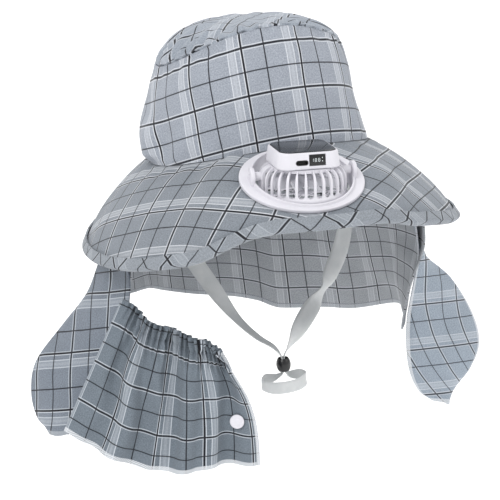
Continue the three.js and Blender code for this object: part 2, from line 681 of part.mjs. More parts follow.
function bracket() {
  const chamfer = 0.9;
  const radius = BRACKET.halfWidth;
  const plate = lathe([
    [0, SEWN_GAP], [radius, SEWN_GAP], [radius, PLATE_TOP - chamfer], [radius - chamfer, PLATE_TOP],
    [0, PLATE_TOP],
  ], 36).scale(1, BRACKET.halfDepth / BRACKET.halfWidth, 1);
  const sleeve = cylinder(SLEEVE_OUTER, SLEEVE_BOTTOM, PLATE_TOP + BRACKET.collar, 30);
  const opening = cylinder(BRACKET.opening, SLEEVE_BOTTOM - 1, PLATE_TOP + BRACKET.collar + 1, 30);
  const outline = new THREE.Shape();
  const half = BRACKET.earWidth / 2;
  outline.moveTo(-half, PLATE_TOP - 1);
  outline.lineTo(half, PLATE_TOP - 1);
  outline.absarc(0, PIVOT_HEIGHT, half, 0, Math.PI);
  const ear = new THREE.ExtrudeGeometry(outline, {
    depth: BRACKET.earThickness, bevelEnabled: false, curveSegments: 6,
  }).rotateX(Math.PI / 2).rotateZ(Math.PI / 2);
  const earAt = (x) => toSolid(ear.clone().translate(x, 0, 0));
  const bore = cylinder(FAN.pin + FAN.pinClearance, -2 * radius, 2 * radius, 16)
    .rotateY(Math.PI / 2)
    .translate(0, 0, PIVOT_HEIGHT);
  return toGeometry(toSolid(plate)
    .add(toSolid(sleeve))
    .subtract(toSolid(opening))
    .add(earAt(BRACKET.opening))
    .add(earAt(-BRACKET.opening - BRACKET.earThickness))
    .subtract(toSolid(bore)));
}

function lockRing() {
  const inner = SLEEVE_OUTER + SEWN_GAP;
  const top = -BRIM.cloth - LOCK_RING.ease;
  const bottom = top - LOCK_RING.thickness;
  const outer = inner + LOCK_RING.width;
  return lathe([
    [inner, bottom], [outer, bottom], [outer, top - 0.8], [outer - 0.8, top], [inner, top], [inner, bottom],
  ], 30);
}

// Fan cage: a rounded shell with slots all round its shoulder, pivot pins and a motor boss
const RIM_TOP = FAN.bottom + FAN.rimHeight;
const MOTOR = { radius: 7, height: 5 };
const HUB_TOP = FAN.top - FAN.wall - MOTOR.height - IMPELLER.running;
const HUB_BOTTOM = HUB_TOP - IMPELLER.height;

// A long rounded hole's outline, along Y
function slotShape(width, length) {
  const shape = new THREE.Shape();
  const [half, reach] = [width / 2, (length - width) / 2];
  shape.absarc(0, reach, half, 0, Math.PI);
  shape.absarc(0, -reach, half, Math.PI, 2 * Math.PI);
  return shape;
}

function fanCage() {
  const { wall } = FAN;
  const outer = [
    [FAN.radius, FAN.bottom], [FAN.radius, FAN.shoulderTop], [FAN.bendRadius, FAN.bend],
    [FAN.topRadius, FAN.top], [0, FAN.top],
  ];
  const inner = [
    [0, FAN.top - wall], [FAN.topRadius - wall / 2, FAN.top - wall], [FAN.bendRadius - wall, FAN.bend],
    [FAN.radius - wall, FAN.shoulderTop], [FAN.radius - wall, FAN.bottom],
  ];
  let body = toSolid(lathe([...inner, ...outer], 30));
  const [half, reach] = [FAN.slotWidth / 2, (FAN.slotTop - RIM_TOP) / 2];
  const outline = new THREE.Shape([
    [half, -reach], [half, reach - half], [half / 2, reach],
    [-half / 2, reach], [-half, reach - half], [-half, -reach],
  ].map(([x, y]) => new THREE.Vector2(x, y)));
  const slot = new THREE.ExtrudeGeometry(outline, {
    depth: FAN.radius, bevelEnabled: false,
  }).rotateX(Math.PI / 2).translate(0, -FAN.topRadius / 2, (FAN.slotTop + RIM_TOP) / 2);
  for (let i = 0; i < FAN.slots; i++) {
    const turn = ((i + 0.5) * 360) / FAN.slots;
    const besidePin = Math.abs(Math.cos(turn * DEGREE)) < 0.18;
    if (!besidePin) body = body.subtract(toSolid(slot.clone().rotateZ(turn * DEGREE)));
  }
  const toBend = FAN.shoulderTop / (FAN.shoulderTop - FAN.bend);
  const wallAtPin = THREE.MathUtils.lerp(FAN.radius, FAN.bendRadius, toBend) - wall;
  for (const side of [-1, 1]) {
    const along = (from, to, radius) => cylinder(radius, from, to, 12).rotateY((side * Math.PI) / 2);
    body = body.add(toSolid(along(wallAtPin, BRACKET.opening - SEWN_GAP, 2 * FAN.pin)));
    body = body.add(toSolid(along(wallAtPin, BRACKET.opening + BRACKET.earThickness, FAN.pin)));
  }
  const motor = cylinder(MOTOR.radius, HUB_TOP + IMPELLER.running, FAN.top - wall / 2, 18);
  const shaft = cylinder(IMPELLER.shaft, HUB_BOTTOM + 2, FAN.top - wall / 2, 12);
  return toGeometry(body.add(toSolid(motor)).add(toSolid(shaft)));
}

// Impeller: a hub that hangs on the motor's shaft, with pitched blades
function impeller() {
  let body = toSolid(cylinder(IMPELLER.hub, HUB_BOTTOM, HUB_TOP, 24));
  const inner = IMPELLER.hub - IMPELLER.blade;
  const length = IMPELLER.radius - inner;
  const blade = new THREE.BoxGeometry(length, IMPELLER.blade, IMPELLER.height)
    .rotateX(IMPELLER.pitch * DEGREE)
    .translate(inner + length / 2, 0, (HUB_TOP + HUB_BOTTOM) / 2);
  for (let i = 0; i < IMPELLER.blades; i++) {
    body = body.add(toSolid(blade.clone().rotateZ((2 * Math.PI * i) / IMPELLER.blades)));
  }
  const boreFrom = HUB_BOTTOM + 2 - IMPELLER.running;
  const bore = cylinder(IMPELLER.shaft + IMPELLER.running, boreFrom, HUB_TOP + 1, 12);
  return toGeometry(body.subtract(toSolid(bore)));
}

// Outlet grille: bars and a ring inside the rim, below the impeller
function outletGrille() {
  const outer = FAN.radius - FAN.wall - SEWN_GAP;
  const [from, to] = [FAN.bottom, FAN.bottom + GRILLE.thickness];
  const disc = (radius, past) => cylinder(radius, from - past, to + past, GRILLE.sides);
  const ringOf = (radius) => toSolid(cut(disc(radius, 0), disc(radius - GRILLE.ringWidth, 1)));
  let body = ringOf(outer).add(ringOf(GRILLE.ring)).add(toSolid(disc(GRILLE.hub, 0)));
  const reach = outer - GRILLE.ringWidth / 2;
  const bar = new THREE.BoxGeometry(reach - GRILLE.hub / 2, GRILLE.barWidth, GRILLE.thickness)
    .translate((reach + GRILLE.hub / 2) / 2, 0, (from + to) / 2);
  for (let i = 0; i < GRILLE.bars; i++) {
    body = body.add(toSolid(bar.clone().rotateZ((2 * Math.PI * i) / GRILLE.bars)));
  }
  return toGeometry(body);
}

// Control box on the cage, with a pocket for the panel on top and two in its front face
const BOX_BOTTOM = FAN.top + SEWN_GAP;
const BOX_TOP = BOX_BOTTOM + BOX.height;
const FACE_LEAN = Math.atan2(BOX.draft, BOX.height);
const FACE_MIDDLE = new THREE.Vector3(0, -(BOX.depth - BOX.draft) / 2, (BOX_BOTTOM + BOX_TOP) / 2);

function boxSection(shrink, height) {
  const plate = roundedOutline(BOX.width - 2 * shrink, BOX.depth - 2 * shrink, BOX.corner - shrink / 2);
  return plate.getPoints(2).map((p) => new THREE.Vector3(p.x, p.y, height));
}

// Turns a solid that was made round its own middle, deep along Y, onto the front face.
function onFace(geometry, across, lift) {
  return geometry
    .rotateX(-FACE_LEAN)
    .translate(FACE_MIDDLE.x + across, FACE_MIDDLE.y, FACE_MIDDLE.z + lift);
}

function panelPlate(clearance, height) {
  const shrink = BOX.draft + PANEL.margin;
  return roundedPlate(
    BOX.width - 2 * shrink + 2 * clearance,
    BOX.depth - 2 * shrink + 2 * clearance,
    height,
    BOX.corner - shrink / 2,
  );
}

function portBody(grow, depth) {
  return new THREE.ExtrudeGeometry(slotShape(PORT.height + grow, PORT.width + grow), {
    depth, bevelEnabled: false, curveSegments: 2,
  }).rotateZ(Math.PI / 2).rotateX(Math.PI / 2);
}

function controlBox() {
  const edge = 1.2;
  const body = loft([
    boxSection(0, BOX_BOTTOM),
    boxSection(BOX.draft * (1 - edge / BOX.height), BOX_TOP - edge),
    boxSection(BOX.draft + edge / 2, BOX_TOP),
  ]);
  const ease = 2 * SEWN_GAP;
  const { width, height, thickness } = DISPLAY;
  const window = onFace(
    new THREE.BoxGeometry(width + ease, 2 * thickness + ease, height + ease),
    DISPLAY.across,
    DISPLAY.lift,
  );
  const hole = portBody(ease, PORT.depth + 1).translate(0, PORT.depth + SEWN_GAP, 0);
  const socket = onFace(hole, PORT.across, PORT.lift);
  return toGeometry(toSolid(body)
    .subtract(toSolid(panelPlate(SEWN_GAP, 2 * PANEL.thickness).translate(0, 0, BOX_TOP - PANEL.thickness)))
    .subtract(toSolid(window))
    .subtract(toSolid(socket)));
}

function solarPanel() {
  return panelPlate(0, PANEL.thickness).translate(0, 0, BOX_TOP - PANEL.thickness + SEWN_GAP);
}

function displayWindow() {
  const plate = new THREE.BoxGeometry(DISPLAY.width, DISPLAY.thickness, DISPLAY.height);
  return onFace(plate.translate(0, DISPLAY.thickness / 2, 0), DISPLAY.across, DISPLAY.lift);
}

function usbPort() {
  const body = portBody(0, PORT.depth).translate(0, PORT.depth, 0);
  const mouth = portBody(-2 * SEWN_GAP - 0.4, PORT.depth).translate(0, PORT.depth - 1, 0);
  return onFace(cut(body, mouth), PORT.across, PORT.lift);
}

// The scene: the hat, the fan's bracket on its brim and the fan head in the bracket's ears
const hat = new THREE.Group();
hat.add(
  solidMesh("crown_side", crownSide(), cloth),
  solidMesh("crown_tip", crownTip(), cloth),
  solidMesh("brim", brim(), cloth),
  solidMesh("brim_binding", brimBinding(), cloth),
  solidMesh("neck_flap", neckFlap(), cloth),
  solidMesh("left_cheek_flap", leftFlap(), cloth),
  solidMesh("right_cheek_flap", rightFlap(), cloth),
  solidMesh("face_veil", faceVeil(), cloth),
  solidMesh("snap_button", snapButton(), whitePlastic),
  solidMesh("chin_strap", chinStrap(), webbing),
  solidMesh("strap_bead", strapBead(), blackPlastic),
);

const fan = new THREE.Group();
fan.applyMatrix4(bracketFrame);
fan.add(
  solidMesh("fan_bracket", bracket(), whitePlastic),
  solidMesh("fan_lock_ring", lockRing(), whitePlastic),
);
hat.add(fan);

const fanHead = new THREE.Group();
fanHead.position.set(0, 0, PIVOT_HEIGHT);
fanHead.rotation.x = FAN.restTilt * DEGREE;
fanHead.add(
  solidMesh("fan_cage", fanCage(), whitePlastic),
  solidMesh("outlet_grille", outletGrille(), whitePlastic),
  solidMesh("impeller", impeller(), greyPlastic),
  solidMesh("control_box", controlBox(), whitePlastic),
  solidMesh("solar_panel", solarPanel(), darkGlass),
  solidMesh("display_window", displayWindow(), blackPlastic),
  solidMesh("usb_port", usbPort(), blackPlastic),
);
fan.add(fanHead);

export default hat;
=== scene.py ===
import math
from functools import lru_cache

import bpy
from mathutils import Matrix, Vector, noise


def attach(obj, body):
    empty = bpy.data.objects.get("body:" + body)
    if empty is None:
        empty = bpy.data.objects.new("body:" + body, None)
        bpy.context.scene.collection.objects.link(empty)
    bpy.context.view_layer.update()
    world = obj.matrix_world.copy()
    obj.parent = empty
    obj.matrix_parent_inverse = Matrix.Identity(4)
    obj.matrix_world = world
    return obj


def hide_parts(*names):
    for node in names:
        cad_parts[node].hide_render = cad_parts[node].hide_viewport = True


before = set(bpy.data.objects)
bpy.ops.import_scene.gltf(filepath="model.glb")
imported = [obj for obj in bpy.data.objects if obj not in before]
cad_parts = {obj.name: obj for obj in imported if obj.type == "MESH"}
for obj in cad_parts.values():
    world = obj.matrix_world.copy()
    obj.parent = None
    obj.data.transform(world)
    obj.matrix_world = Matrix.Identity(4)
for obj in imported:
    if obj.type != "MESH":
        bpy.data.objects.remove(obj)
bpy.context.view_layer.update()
mm = 0.001  # the shapes are worked out in millimetres, like the solids
print("frame loaded:", len(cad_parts), "nodes")


# Small helpers

def smooth(low, high, value):
    t = min(1.0, max(0.0, (value - low) / (high - low)))
    return t * t * (3 - 2 * t)


def lerp(a, b, t):
    return a + (b - a) * t


def around(angle, halfWidth, halfLength, height):  # degrees from the front, positive to +X
    a = math.radians(angle)
    return Vector((halfWidth * math.sin(a), -halfLength * math.cos(a), height))


def turnBetween(a, b):
    return ((a - b) % 360 + 540) % 360 - 180


def bell(value, middle, spread):
    t = (value - middle) / spread
    return math.exp(-t * t)


def fromTable(keys, values, key):  # a smooth value between a table's rows
    i = 1
    while i < len(keys) - 1 and keys[i] < key:
        i += 1
    last = len(keys) - 1
    a, b, c, d = max(i - 2, 0), i - 1, i, min(i + 1, last)
    width = keys[c] - keys[b]
    t = min(1.0, max(0.0, (key - keys[b]) / width))
    before = width * (values[c] - values[a]) / (keys[c] - keys[a])
    after = width * (values[d] - values[b]) / (keys[d] - keys[b])
    cubic = t * t * (3 - 2 * t)
    return (values[b] * (1 - cubic) + values[c] * cubic
            + before * t * (1 - t) ** 2 - after * t * t * (1 - t))


def column(rows, place):
    return [row[place] for row in rows]


def deselectAll():
    bpy.ops.object.select_all(action="DESELECT")


def choose(obj):
    deselectAll()
    obj.select_set(True)
    bpy.context.view_layer.objects.active = obj


def applyModifier(obj, kind, **values):
    choose(obj)
    modifier = obj.modifiers.new(kind.lower(), kind)
    for key, value in values.items():
        setattr(modifier, key, value)
    bpy.ops.object.modifier_apply(modifier=modifier.name)


def smoothByAngle(obj, degrees):
    choose(obj)
    bpy.ops.object.shade_smooth_by_angle(angle=math.radians(degrees))


# Camera, at the photograph's viewing angle

camera = {
    "azimuth": -14.16, "elevation": 9.06, "roll": 5.54,  # degrees
    "distance": 1.150, "lens": 101.43,
    "aimAcross": -0.00604, "aimUp": -0.0878,  # the picture's middle, from the head opening
}


def makeCamera():
    a, e, r = (math.radians(camera[key]) for key in ("azimuth", "elevation", "roll"))
    back = Vector((math.sin(a) * math.cos(e), -math.cos(a) * math.cos(e), math.sin(e)))
    side = Vector((math.cos(a), math.sin(a), 0))
    up = back.cross(side)
    right = side * math.cos(r) - up * math.sin(r)
    rolledUp = side * math.sin(r) + up * math.cos(r)
    place = back * camera["distance"]
    aim = right * camera["aimAcross"] + rolledUp * camera["aimUp"]
    backwards = (place - aim).normalized()
    right = (right - backwards * right.dot(backwards)).normalized()
    data = bpy.data.cameras.new("camera")
    data.lens = camera["lens"]
    data.sensor_width = 36
    obj = bpy.data.objects.new("camera", data)
    bpy.context.collection.objects.link(obj)
    turn = Matrix((right, backwards.cross(right), backwards)).transposed()
    obj.matrix_world = Matrix.Translation(place) @ turn.to_4x4()
    bpy.context.scene.camera = obj


makeCamera()
print("camera placed")


# Cloth: a grid of points with the flat cloth's own coordinates as its UV map, in metres

def finishCloth(obj, thickness, angle=60):
    if thickness:
        applyModifier(obj, "SOLIDIFY", thickness=thickness * mm, offset=-1, use_rim=True)
    smoothByAngle(obj, angle)
    return obj


def clothGrid(name, columns, rows, at, flat, edges=None, relief=None, closed=False, pole=False):
    across = columns if closed else columns + 1
    down = rows if pole else rows + 1
    points = [at(i / columns, j / rows) for j in range(down) for i in range(across)]
    faces, spots = [], []
    for j in range(down - 1):
        for i in range(columns):
            k = (i + 1) % columns if closed else i + 1
            faces.append((j * across + i, j * across + k, (j + 1) * across + k, (j + 1) * across + i))
            spots.append(((i, j), (i + 1, j), (i + 1, j + 1), (i, j + 1)))
    if pole:
        points.append(at(0, 1))
        base = (down - 1) * across
        for i in range(columns):
            faces.append((base + i, base + (i + 1) % columns, len(points) - 1))
            spots.append(((i, down - 1), (i + 1, down - 1), (i, rows)))
    mesh = bpy.data.meshes.new(name)
    mesh.from_pydata([p * mm for p in points], [], faces)
    for label, source in (("cloth", flat), ("edges", edges)):
        if source is None:
            continue
        values = {}
        layer = mesh.uv_layers.new(name=label)
        loop = 0
        for corners in spots:
            for spot in corners:
                if spot not in values:
                    x, y = source(spot[0] / columns, spot[1] / rows)
                    values[spot] = (x * mm, y * mm)
                layer.data[loop].uv = values[spot]
                loop += 1
    obj = bpy.data.objects.new(name, mesh)
    bpy.context.collection.objects.link(obj)
    if relief:
        mesh.update()
        normals = [v.normal.copy() for v in mesh.vertices]
        for j in range(down):
            for i in range(across):
                n = j * across + i
                p = mesh.vertices[n].co
                mesh.vertices[n].co = p + normals[n] * relief(i / columns, j / rows, p / mm) * mm
    return obj


def ripple(point, size, seed=0.0):  # soft noise from -1 to 1
    return noise.noise(Vector((point.x / size + seed, point.y / size - seed, point.z / size)))


# Chin strap: one flat band from the left of the head opening, down through the bead, round the
# small loop below it, up through the bead again and to the right

strap = {"width": 14, "cloth": 1.1, "steps": 420, "rib": 0.9}
strapRoute = (  # x, y, z, turn of its width about the vertical, how far it stands up, share of its width
    (-85.6, 2, -9.3, -85, 0, 1), (-80, -3, -40, -50, 0, 1), (-68, -9, -80, -12, 0, 1),
    (-52, -16, -112, 0, 0, 0.95),
    (-37, -25, -138, 25, 0, 0.65), (-25, -38, -151.5, 45, 0, 0.6), (-14.5, -47, -159.5, 60, 0, 0.5),
    (-10.2, -51, -167, 80, 0, 0.32), (-10, -51, -180, 80, 0, 0.32), (-15, -47, -184.5, 60, 35, 0.45),
    (-24, -46, -185.5, 20, 75, 0.62), (-28, -50.5, -187.5, -90, 84, 0.7), (-22, -56, -190, -180, 84, 0.72),
    (-10, -58, -191, -180, 84, 0.72), (2, -57, -190, -180, 84, 0.72), (8.4, -51, -188, -270, 84, 0.7),
    (5, -46, -186, -340, 75, 0.62), (-3, -47, -184.5, -300, 35, 0.45), (-8, -51, -180, -280, 0, 0.32),
    (-7.8, -51, -167, -280, 0, 0.32), (-3.5, -50, -160.5, -310, 0, 0.5), (8, -44, -149, -350, 0, 0.9),
    (22, -36, -136, -365, 0, 1), (36, -28, -124, -320, 0, 0.6), (45, -22, -114, -350, 0, 0.9),
    (60, -12, -93, -355, 0, 1), (76, -2, -48, -315, 0, 1), (85.6, 2, -9.3, -275, 0, 1),
)


def centripetal(points, row):  # the same curve as the solid's
    i = min(int(row), len(points) - 2)
    t = row - i
    p1, p2 = points[i], points[i + 1]
    p0 = points[i - 1] if i else p1 * 2 - p2
    p3 = points[i + 2] if i + 2 < len(points) else p2 * 2 - p1
    d0, d1, d2 = ((b - a).length ** 0.5 or 1 for a, b in ((p0, p1), (p1, p2), (p2, p3)))
    t1 = ((p1 - p0) / d0 - (p2 - p0) / (d0 + d1) + (p2 - p1) / d1) * d1
    t2 = ((p2 - p1) / d1 - (p3 - p1) / (d1 + d2) + (p3 - p2) / d2) * d1
    return p1 + t1 * t + (p1 * -3 + p2 * 3 - t1 * 2 - t2) * t * t + (p1 * 2 - p2 * 2 + t1 + t2) * t ** 3


def bandSections(points, turns, leans, shares, steps, width, thick, profile):
    last = len(points) - 1
    rows = list(range(last + 1))
    sections, run, before = [], 0.0, None
    for n in range(steps + 1):
        row = last * n / steps
        centre = centripetal(points, row)
        after, back = centripetal(points, min(row + 0.01, last)), centripetal(points, max(row - 0.01, 0))
        ahead = (after - back).normalized()
        face = math.radians(fromTable(rows, turns, row))
        lean = math.radians(fromTable(rows, leans, row))
        wide = Vector((math.cos(lean) * math.cos(face), math.cos(lean) * math.sin(face), math.sin(lean)))
        wide = (wide - ahead * wide.dot(ahead)).normalized()
        deep = wide.cross(ahead)
        half = width / 2 * fromTable(rows, shares, row)
        run += (centre - before).length if before else 0
        before = centre
        section = [(centre + wide * half * x + deep * thick / 2 * y, half * x, run) for x, y in profile]
        sections.append(section)
    return sections


def loftBand(name, sections, closed=False):
    count = len(sections[0])
    points = [corner[0] * mm for section in sections for corner in section]
    faces, uvs = [], []
    steps = len(sections) if closed else len(sections) - 1
    for s in range(steps):
        t = (s + 1) % len(sections)
        for i in range(count):
            k = (i + 1) % count
            faces.append((s * count + i, s * count + k, t * count + k, t * count + i))
            wrap = sections[-1][0][2] + 1 if closed and t == 0 else None
            for a, b in ((s, i), (s, k), (t, k), (t, i)):
                across, along = sections[a][b][1], sections[a][b][2]
                if wrap and a == t:
                    along = wrap
                uvs.append((across * mm, along * mm))
    if not closed:
        faces.append(tuple(range(count - 1, -1, -1)))
        faces.append(tuple((len(sections) - 1) * count + i for i in range(count)))
        for a in (0, len(sections) - 1):
            order = range(count - 1, -1, -1) if a == 0 else range(count)
            uvs += [(sections[a][b][1] * mm, sections[a][b][2] * mm) for b in order]
    mesh = bpy.data.meshes.new(name)
    mesh.from_pydata(points, [], faces)
    layer = mesh.uv_layers.new(name="cloth")
    for loop, uv in enumerate(uvs):
        layer.data[loop].uv = uv
    obj = bpy.data.objects.new(name, mesh)
    bpy.context.collection.objects.link(obj)
    choose(obj)
    bpy.ops.object.mode_set(mode="EDIT")
    bpy.ops.mesh.select_all(action="SELECT")
    bpy.ops.mesh.normals_make_consistent(inside=False)
    bpy.ops.object.mode_set(mode="OBJECT")
    return obj


def makeStrap():
    points = [Vector(row[:3]) for row in strapRoute]
    profile = ((-1, 0), (-0.93, 0.8), (-0.5, 1), (0, 0.9), (0.5, 1), (0.93, 0.8),
               (1, 0), (0.93, -0.8), (0.5, -1), (0, -0.9), (-0.5, -1), (-0.93, -0.8))
    sections = bandSections(points, column(strapRoute, 3), column(strapRoute, 4), column(strapRoute, 5),
                            strap["steps"], strap["width"], strap["cloth"], profile)
    obj = loftBand("chin_band", sections)
    smoothByAngle(obj, 50)
    print("chin strap length, m:", round(sections[-1][0][2] * mm, 3))
    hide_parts("chin_strap")
    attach(obj, "hat")
    return obj


chinBand = makeStrap()
print("chin strap made")


# Crown, brim and their seam

head = {"halfWidth": 88, "halfLength": 98, "saddle": 5.6, "frontRise": 3.2, "sewnGap": 0.4}
crown = {
    "sideHeight": 82.5, "sideSaddle": 6.5, "tipHeight": 102.5, "cloth": 1.8,
    "taper": 0.1, "shoulder": 0.07, "tipRound": 3.3, "puckers": 11, "puckerDepth": 4,
    "columns": 264, "rows": 64, "tipRows": 44, "flatTaper": 0.155, "flatBow": 0.00047, "plaidTurn": -1.57,
    "plaidAcross": 25.4, "plaidUp": -7.8,
    "tipFlat": 0.86, "tipPlaidTurn": 27, "tipPlaidAcross": 6, "tipPlaidUp": 4,
}
crownDents = (  # angle, height share, depth share, spread, reach up it
    (-100, 0.32, -0.085, 30, 0.55), (-92, 0.55, 0.035, 11, 0.14), (-70, 0.18, 0.045, 7, 0.28),
    (-84, 0.2, -0.03, 8, 0.3), (80, 0.5, 0.03, 30, 0.35), (28, 0.95, 0.022, 9, 0.12),
    (-40, 0.97, 0.025, 9, 0.12), (150, 0.5, 0.03, 16, 0.3), (-150, 0.35, 0.025, 12, 0.35),
)
brim = {
    "overhang": 69.5, "frontOverhang": 6.3, "saddleOverhang": 8.3, "droop": 57.7,
    "saddleLift": 12, "frontLift": 1.2, "rightLift": 0.4, "cloth": 2.6, "crownSlope": 0.62,
    "columns": 360, "rows": 46,
    "flatSweep": 0.602, "flatFront": 0.175, "flatRadius": 116.5, "flatWidth": 60, "flatFrontWidth": 24.8,
    "flatEase": 29.1, "flatPull": 0.0105, "plaidTurn": 131.0, "plaidAcross": -125.3, "plaidUp": -30.6,
}
edgeWaves = (  # angle, rise share, spread
    (8, 0.07, 26), (-48, -0.05, 22), (-92, 0.03, 20), (52, -0.05, 20), (135, -0.05, 24), (-140, -0.05, 24),
)
bracketSeat = {"angle": -2.2, "fromCrown": 3.6, "roll": 4.2, "halfWidth": 46, "halfDepth": 41,
               "opening": 36.4, "sleeveWall": 1.6, "clearance": 0.5}


def seamHeight(angle):
    a = math.radians(angle)
    return head["saddle"] * math.cos(2 * a) + head["frontRise"] * math.cos(a)


def crownPoint(angle, share):
    narrow = 1 - crown["taper"] * share - crown["shoulder"] * share ** 4
    dent = 0
    for turn, high, depth, spread, tall in crownDents:
        near = bell(turnBetween(angle, turn), 0, spread) * bell(share, high, tall)
        dent += head["halfWidth"] * depth * near
    dent *= smooth(0, 0.12, share)
    height = crown["sideHeight"] + crown["sideSaddle"] * math.cos(2 * math.radians(angle))
    z = seamHeight(angle) + height * share
    return around(angle, head["halfWidth"] * narrow - dent, head["halfLength"] * narrow - dent, z)


def tipPoint(angle, share):
    edge = crownPoint(angle, 1)
    pucker = crown["puckerDepth"] * math.cos(crown["puckers"] * math.radians(angle))
    seat = edge.z + head["sewnGap"] + crown["cloth"]
    dome = seat + (crown["tipHeight"] - seat) * (1 - share ** crown["tipRound"])
    return Vector((edge.x * share, edge.y * share, dome - pucker * share ** 2 * (1 - share ** 4)))


def brimSurface(angle, share):
    a = math.radians(angle)
    out = brim["overhang"] + brim["frontOverhang"] * math.cos(a) + brim["saddleOverhang"] * math.cos(2 * a)
    edge = (-brim["droop"] + brim["saddleLift"] * math.cos(2 * a)
            + brim["frontLift"] * math.cos(a) + brim["rightLift"] * math.sin(a))
    wave = sum(brim["droop"] * rise * bell(turnBetween(angle, turn), 0, spread)
               for turn, rise, spread in edgeWaves)
    fall = brim["crownSlope"] * share + (1 - brim["crownSlope"]) * share ** 3
    base = seamHeight(angle)
    z = base + (edge - base) * fall + wave * share ** 2
    return around(angle, head["halfWidth"] + out * share, head["halfLength"] + out * share, z)


def makeBracketFrame():
    back, front = brimSurface(bracketSeat["angle"], 0.03), brimSurface(bracketSeat["angle"], 0.6)
    slope = math.atan2(back.z - front.z, back.y - front.y)
    turn = (Matrix.Rotation(math.radians(bracketSeat["angle"]), 4, "Z") @ Matrix.Rotation(slope, 4, "X")
            @ Matrix.Rotation(math.radians(bracketSeat["roll"]), 4, "Y"))
    reach = Vector((0, -bracketSeat["fromCrown"] - bracketSeat["halfDepth"], 0))
    return Matrix.Translation(turn @ reach + brimSurface(bracketSeat["angle"], 0)) @ turn


bracketFrame = makeBracketFrame()  # millimetres
toBracket = bracketFrame.inverted()


def brimPoint(angle, share):  # the stiff bracket presses the cloth flat over its own footprint
    p = toBracket @ brimSurface(angle, share)
    away = math.hypot(p.x / bracketSeat["halfWidth"], p.y / bracketSeat["halfDepth"])
    flat = 1 - smooth(1.12, 1.95, away) if p.z > -bracketSeat["halfDepth"] else 0
    p.z *= 1 - flat * smooth(0, 0.11, share)
    return bracketFrame @ p


@lru_cache(maxsize=None)
def brimUnder(angle, share, below):
    du = brimPoint(angle + 0.4, share) - brimPoint(angle - 0.4, share)
    dv = brimPoint(angle, share - 0.01) - brimPoint(angle, share + 0.01)
    return brimPoint(angle, share) - du.cross(dv).normalized() * below


def turned(x, y, degrees):
    a = math.radians(degrees)
    return x * math.cos(a) - y * math.sin(a), x * math.sin(a) + y * math.cos(a)


def crownFlat(angle, share):  # the side is cut from a slightly bowed strip
    girth = (head["halfWidth"] + head["halfLength"]) / 2
    across = math.radians(angle) * girth * (1 - crown["flatTaper"] * share)
    up = share * (crown["sideHeight"] + crown["sideSaddle"] * math.cos(2 * math.radians(angle)))
    x, y = turned(across, up + crown["flatBow"] * across * across, crown["plaidTurn"])
    return x + crown["plaidAcross"], y + crown["plaidUp"]


def crownRelief(u, v, p):
    angle = u * 360 - 180
    topPucker = 1.7 * smooth(0.8, 1, v) * math.sin(math.radians(angle) * 31 + 3 * ripple(p, 40)) \
        * (0.4 + 0.6 * abs(ripple(p, 60, 4)))
    basePucker = 0.8 * smooth(0.22, 0.02, v) * math.sin(math.radians(angle) * 23 + 4 * ripple(p, 50, 2)) \
        * (0.5 + abs(ripple(p, 45, 8)))
    soft = 1.9 * ripple(p, 38, 1.5) + 0.7 * ripple(p, 17, 7)
    held = smooth(0, 0.06, v) * smooth(1, 0.94, v)
    seam = -1.0 * bell(angle, 180, 1.1) - 1.0 * bell(angle, -180, 1.1)
    return topPucker * smooth(1.0, 0.985, v) + basePucker * held + soft * held + seam


def makeCrownSide():
    def at(u, v):
        p = crownPoint(u * 360 - 180, v)
        p.z += head["sewnGap"]
        return p

    def flat(u, v):
        return crownFlat(u * 360 - 180, v)

    obj = clothGrid("crown_cloth", crown["columns"], crown["rows"], at, flat, relief=crownRelief,
                    closed=True)
    finishCloth(obj, crown["cloth"])
    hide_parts("crown_side")
    return obj


def makeCrownTip():
    def at(u, v):
        return tipPoint(u * 360 - 180, 1 - v)

    def flat(u, v):
        share = crown["tipFlat"] * (1 - v)
        p = around(u * 360 - 180, head["halfWidth"] * share, head["halfLength"] * share, 0)
        x, y = turned(p.x, p.y, crown["tipPlaidTurn"])
        return x + crown["tipPlaidAcross"], y + crown["tipPlaidUp"]

    def relief(u, v, p):
        angle = math.radians(u * 360 - 180)
        near = smooth(0.42, 0.03, v) * smooth(0, 0.03, v)
        fine = 1.6 * near * math.sin(angle * 37 + 4 * ripple(p, 40))
        return fine + (1.3 * ripple(p, 42, 2) + 0.5 * ripple(p, 19, 5)) * smooth(0, 0.08, v)

    obj = clothGrid("crown_tip_cloth", crown["columns"], crown["tipRows"], at, flat, relief=relief,
                    closed=True, pole=True)
    finishCloth(obj, crown["cloth"])
    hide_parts("crown_tip")
    return obj


def brimFlat(angle, share):  # the brim is cut from a flat ring and opens at the back
    a = math.radians(angle)
    lifted = (toBracket @ brimPoint(angle, share)).z - (toBracket @ brimSurface(angle, share)).z
    share -= brim["flatPull"] * lifted
    radius = (brim["flatRadius"] + (brim["flatWidth"] + brim["flatFrontWidth"] * math.cos(a)) * share
              + brim["flatEase"] * share * share)
    sweep = brim["flatSweep"] * a + brim["flatFront"] * math.sin(a)
    x, y = turned(radius * math.sin(sweep), -radius * math.cos(sweep), brim["plaidTurn"])
    return x + brim["plaidAcross"], y + brim["plaidUp"]


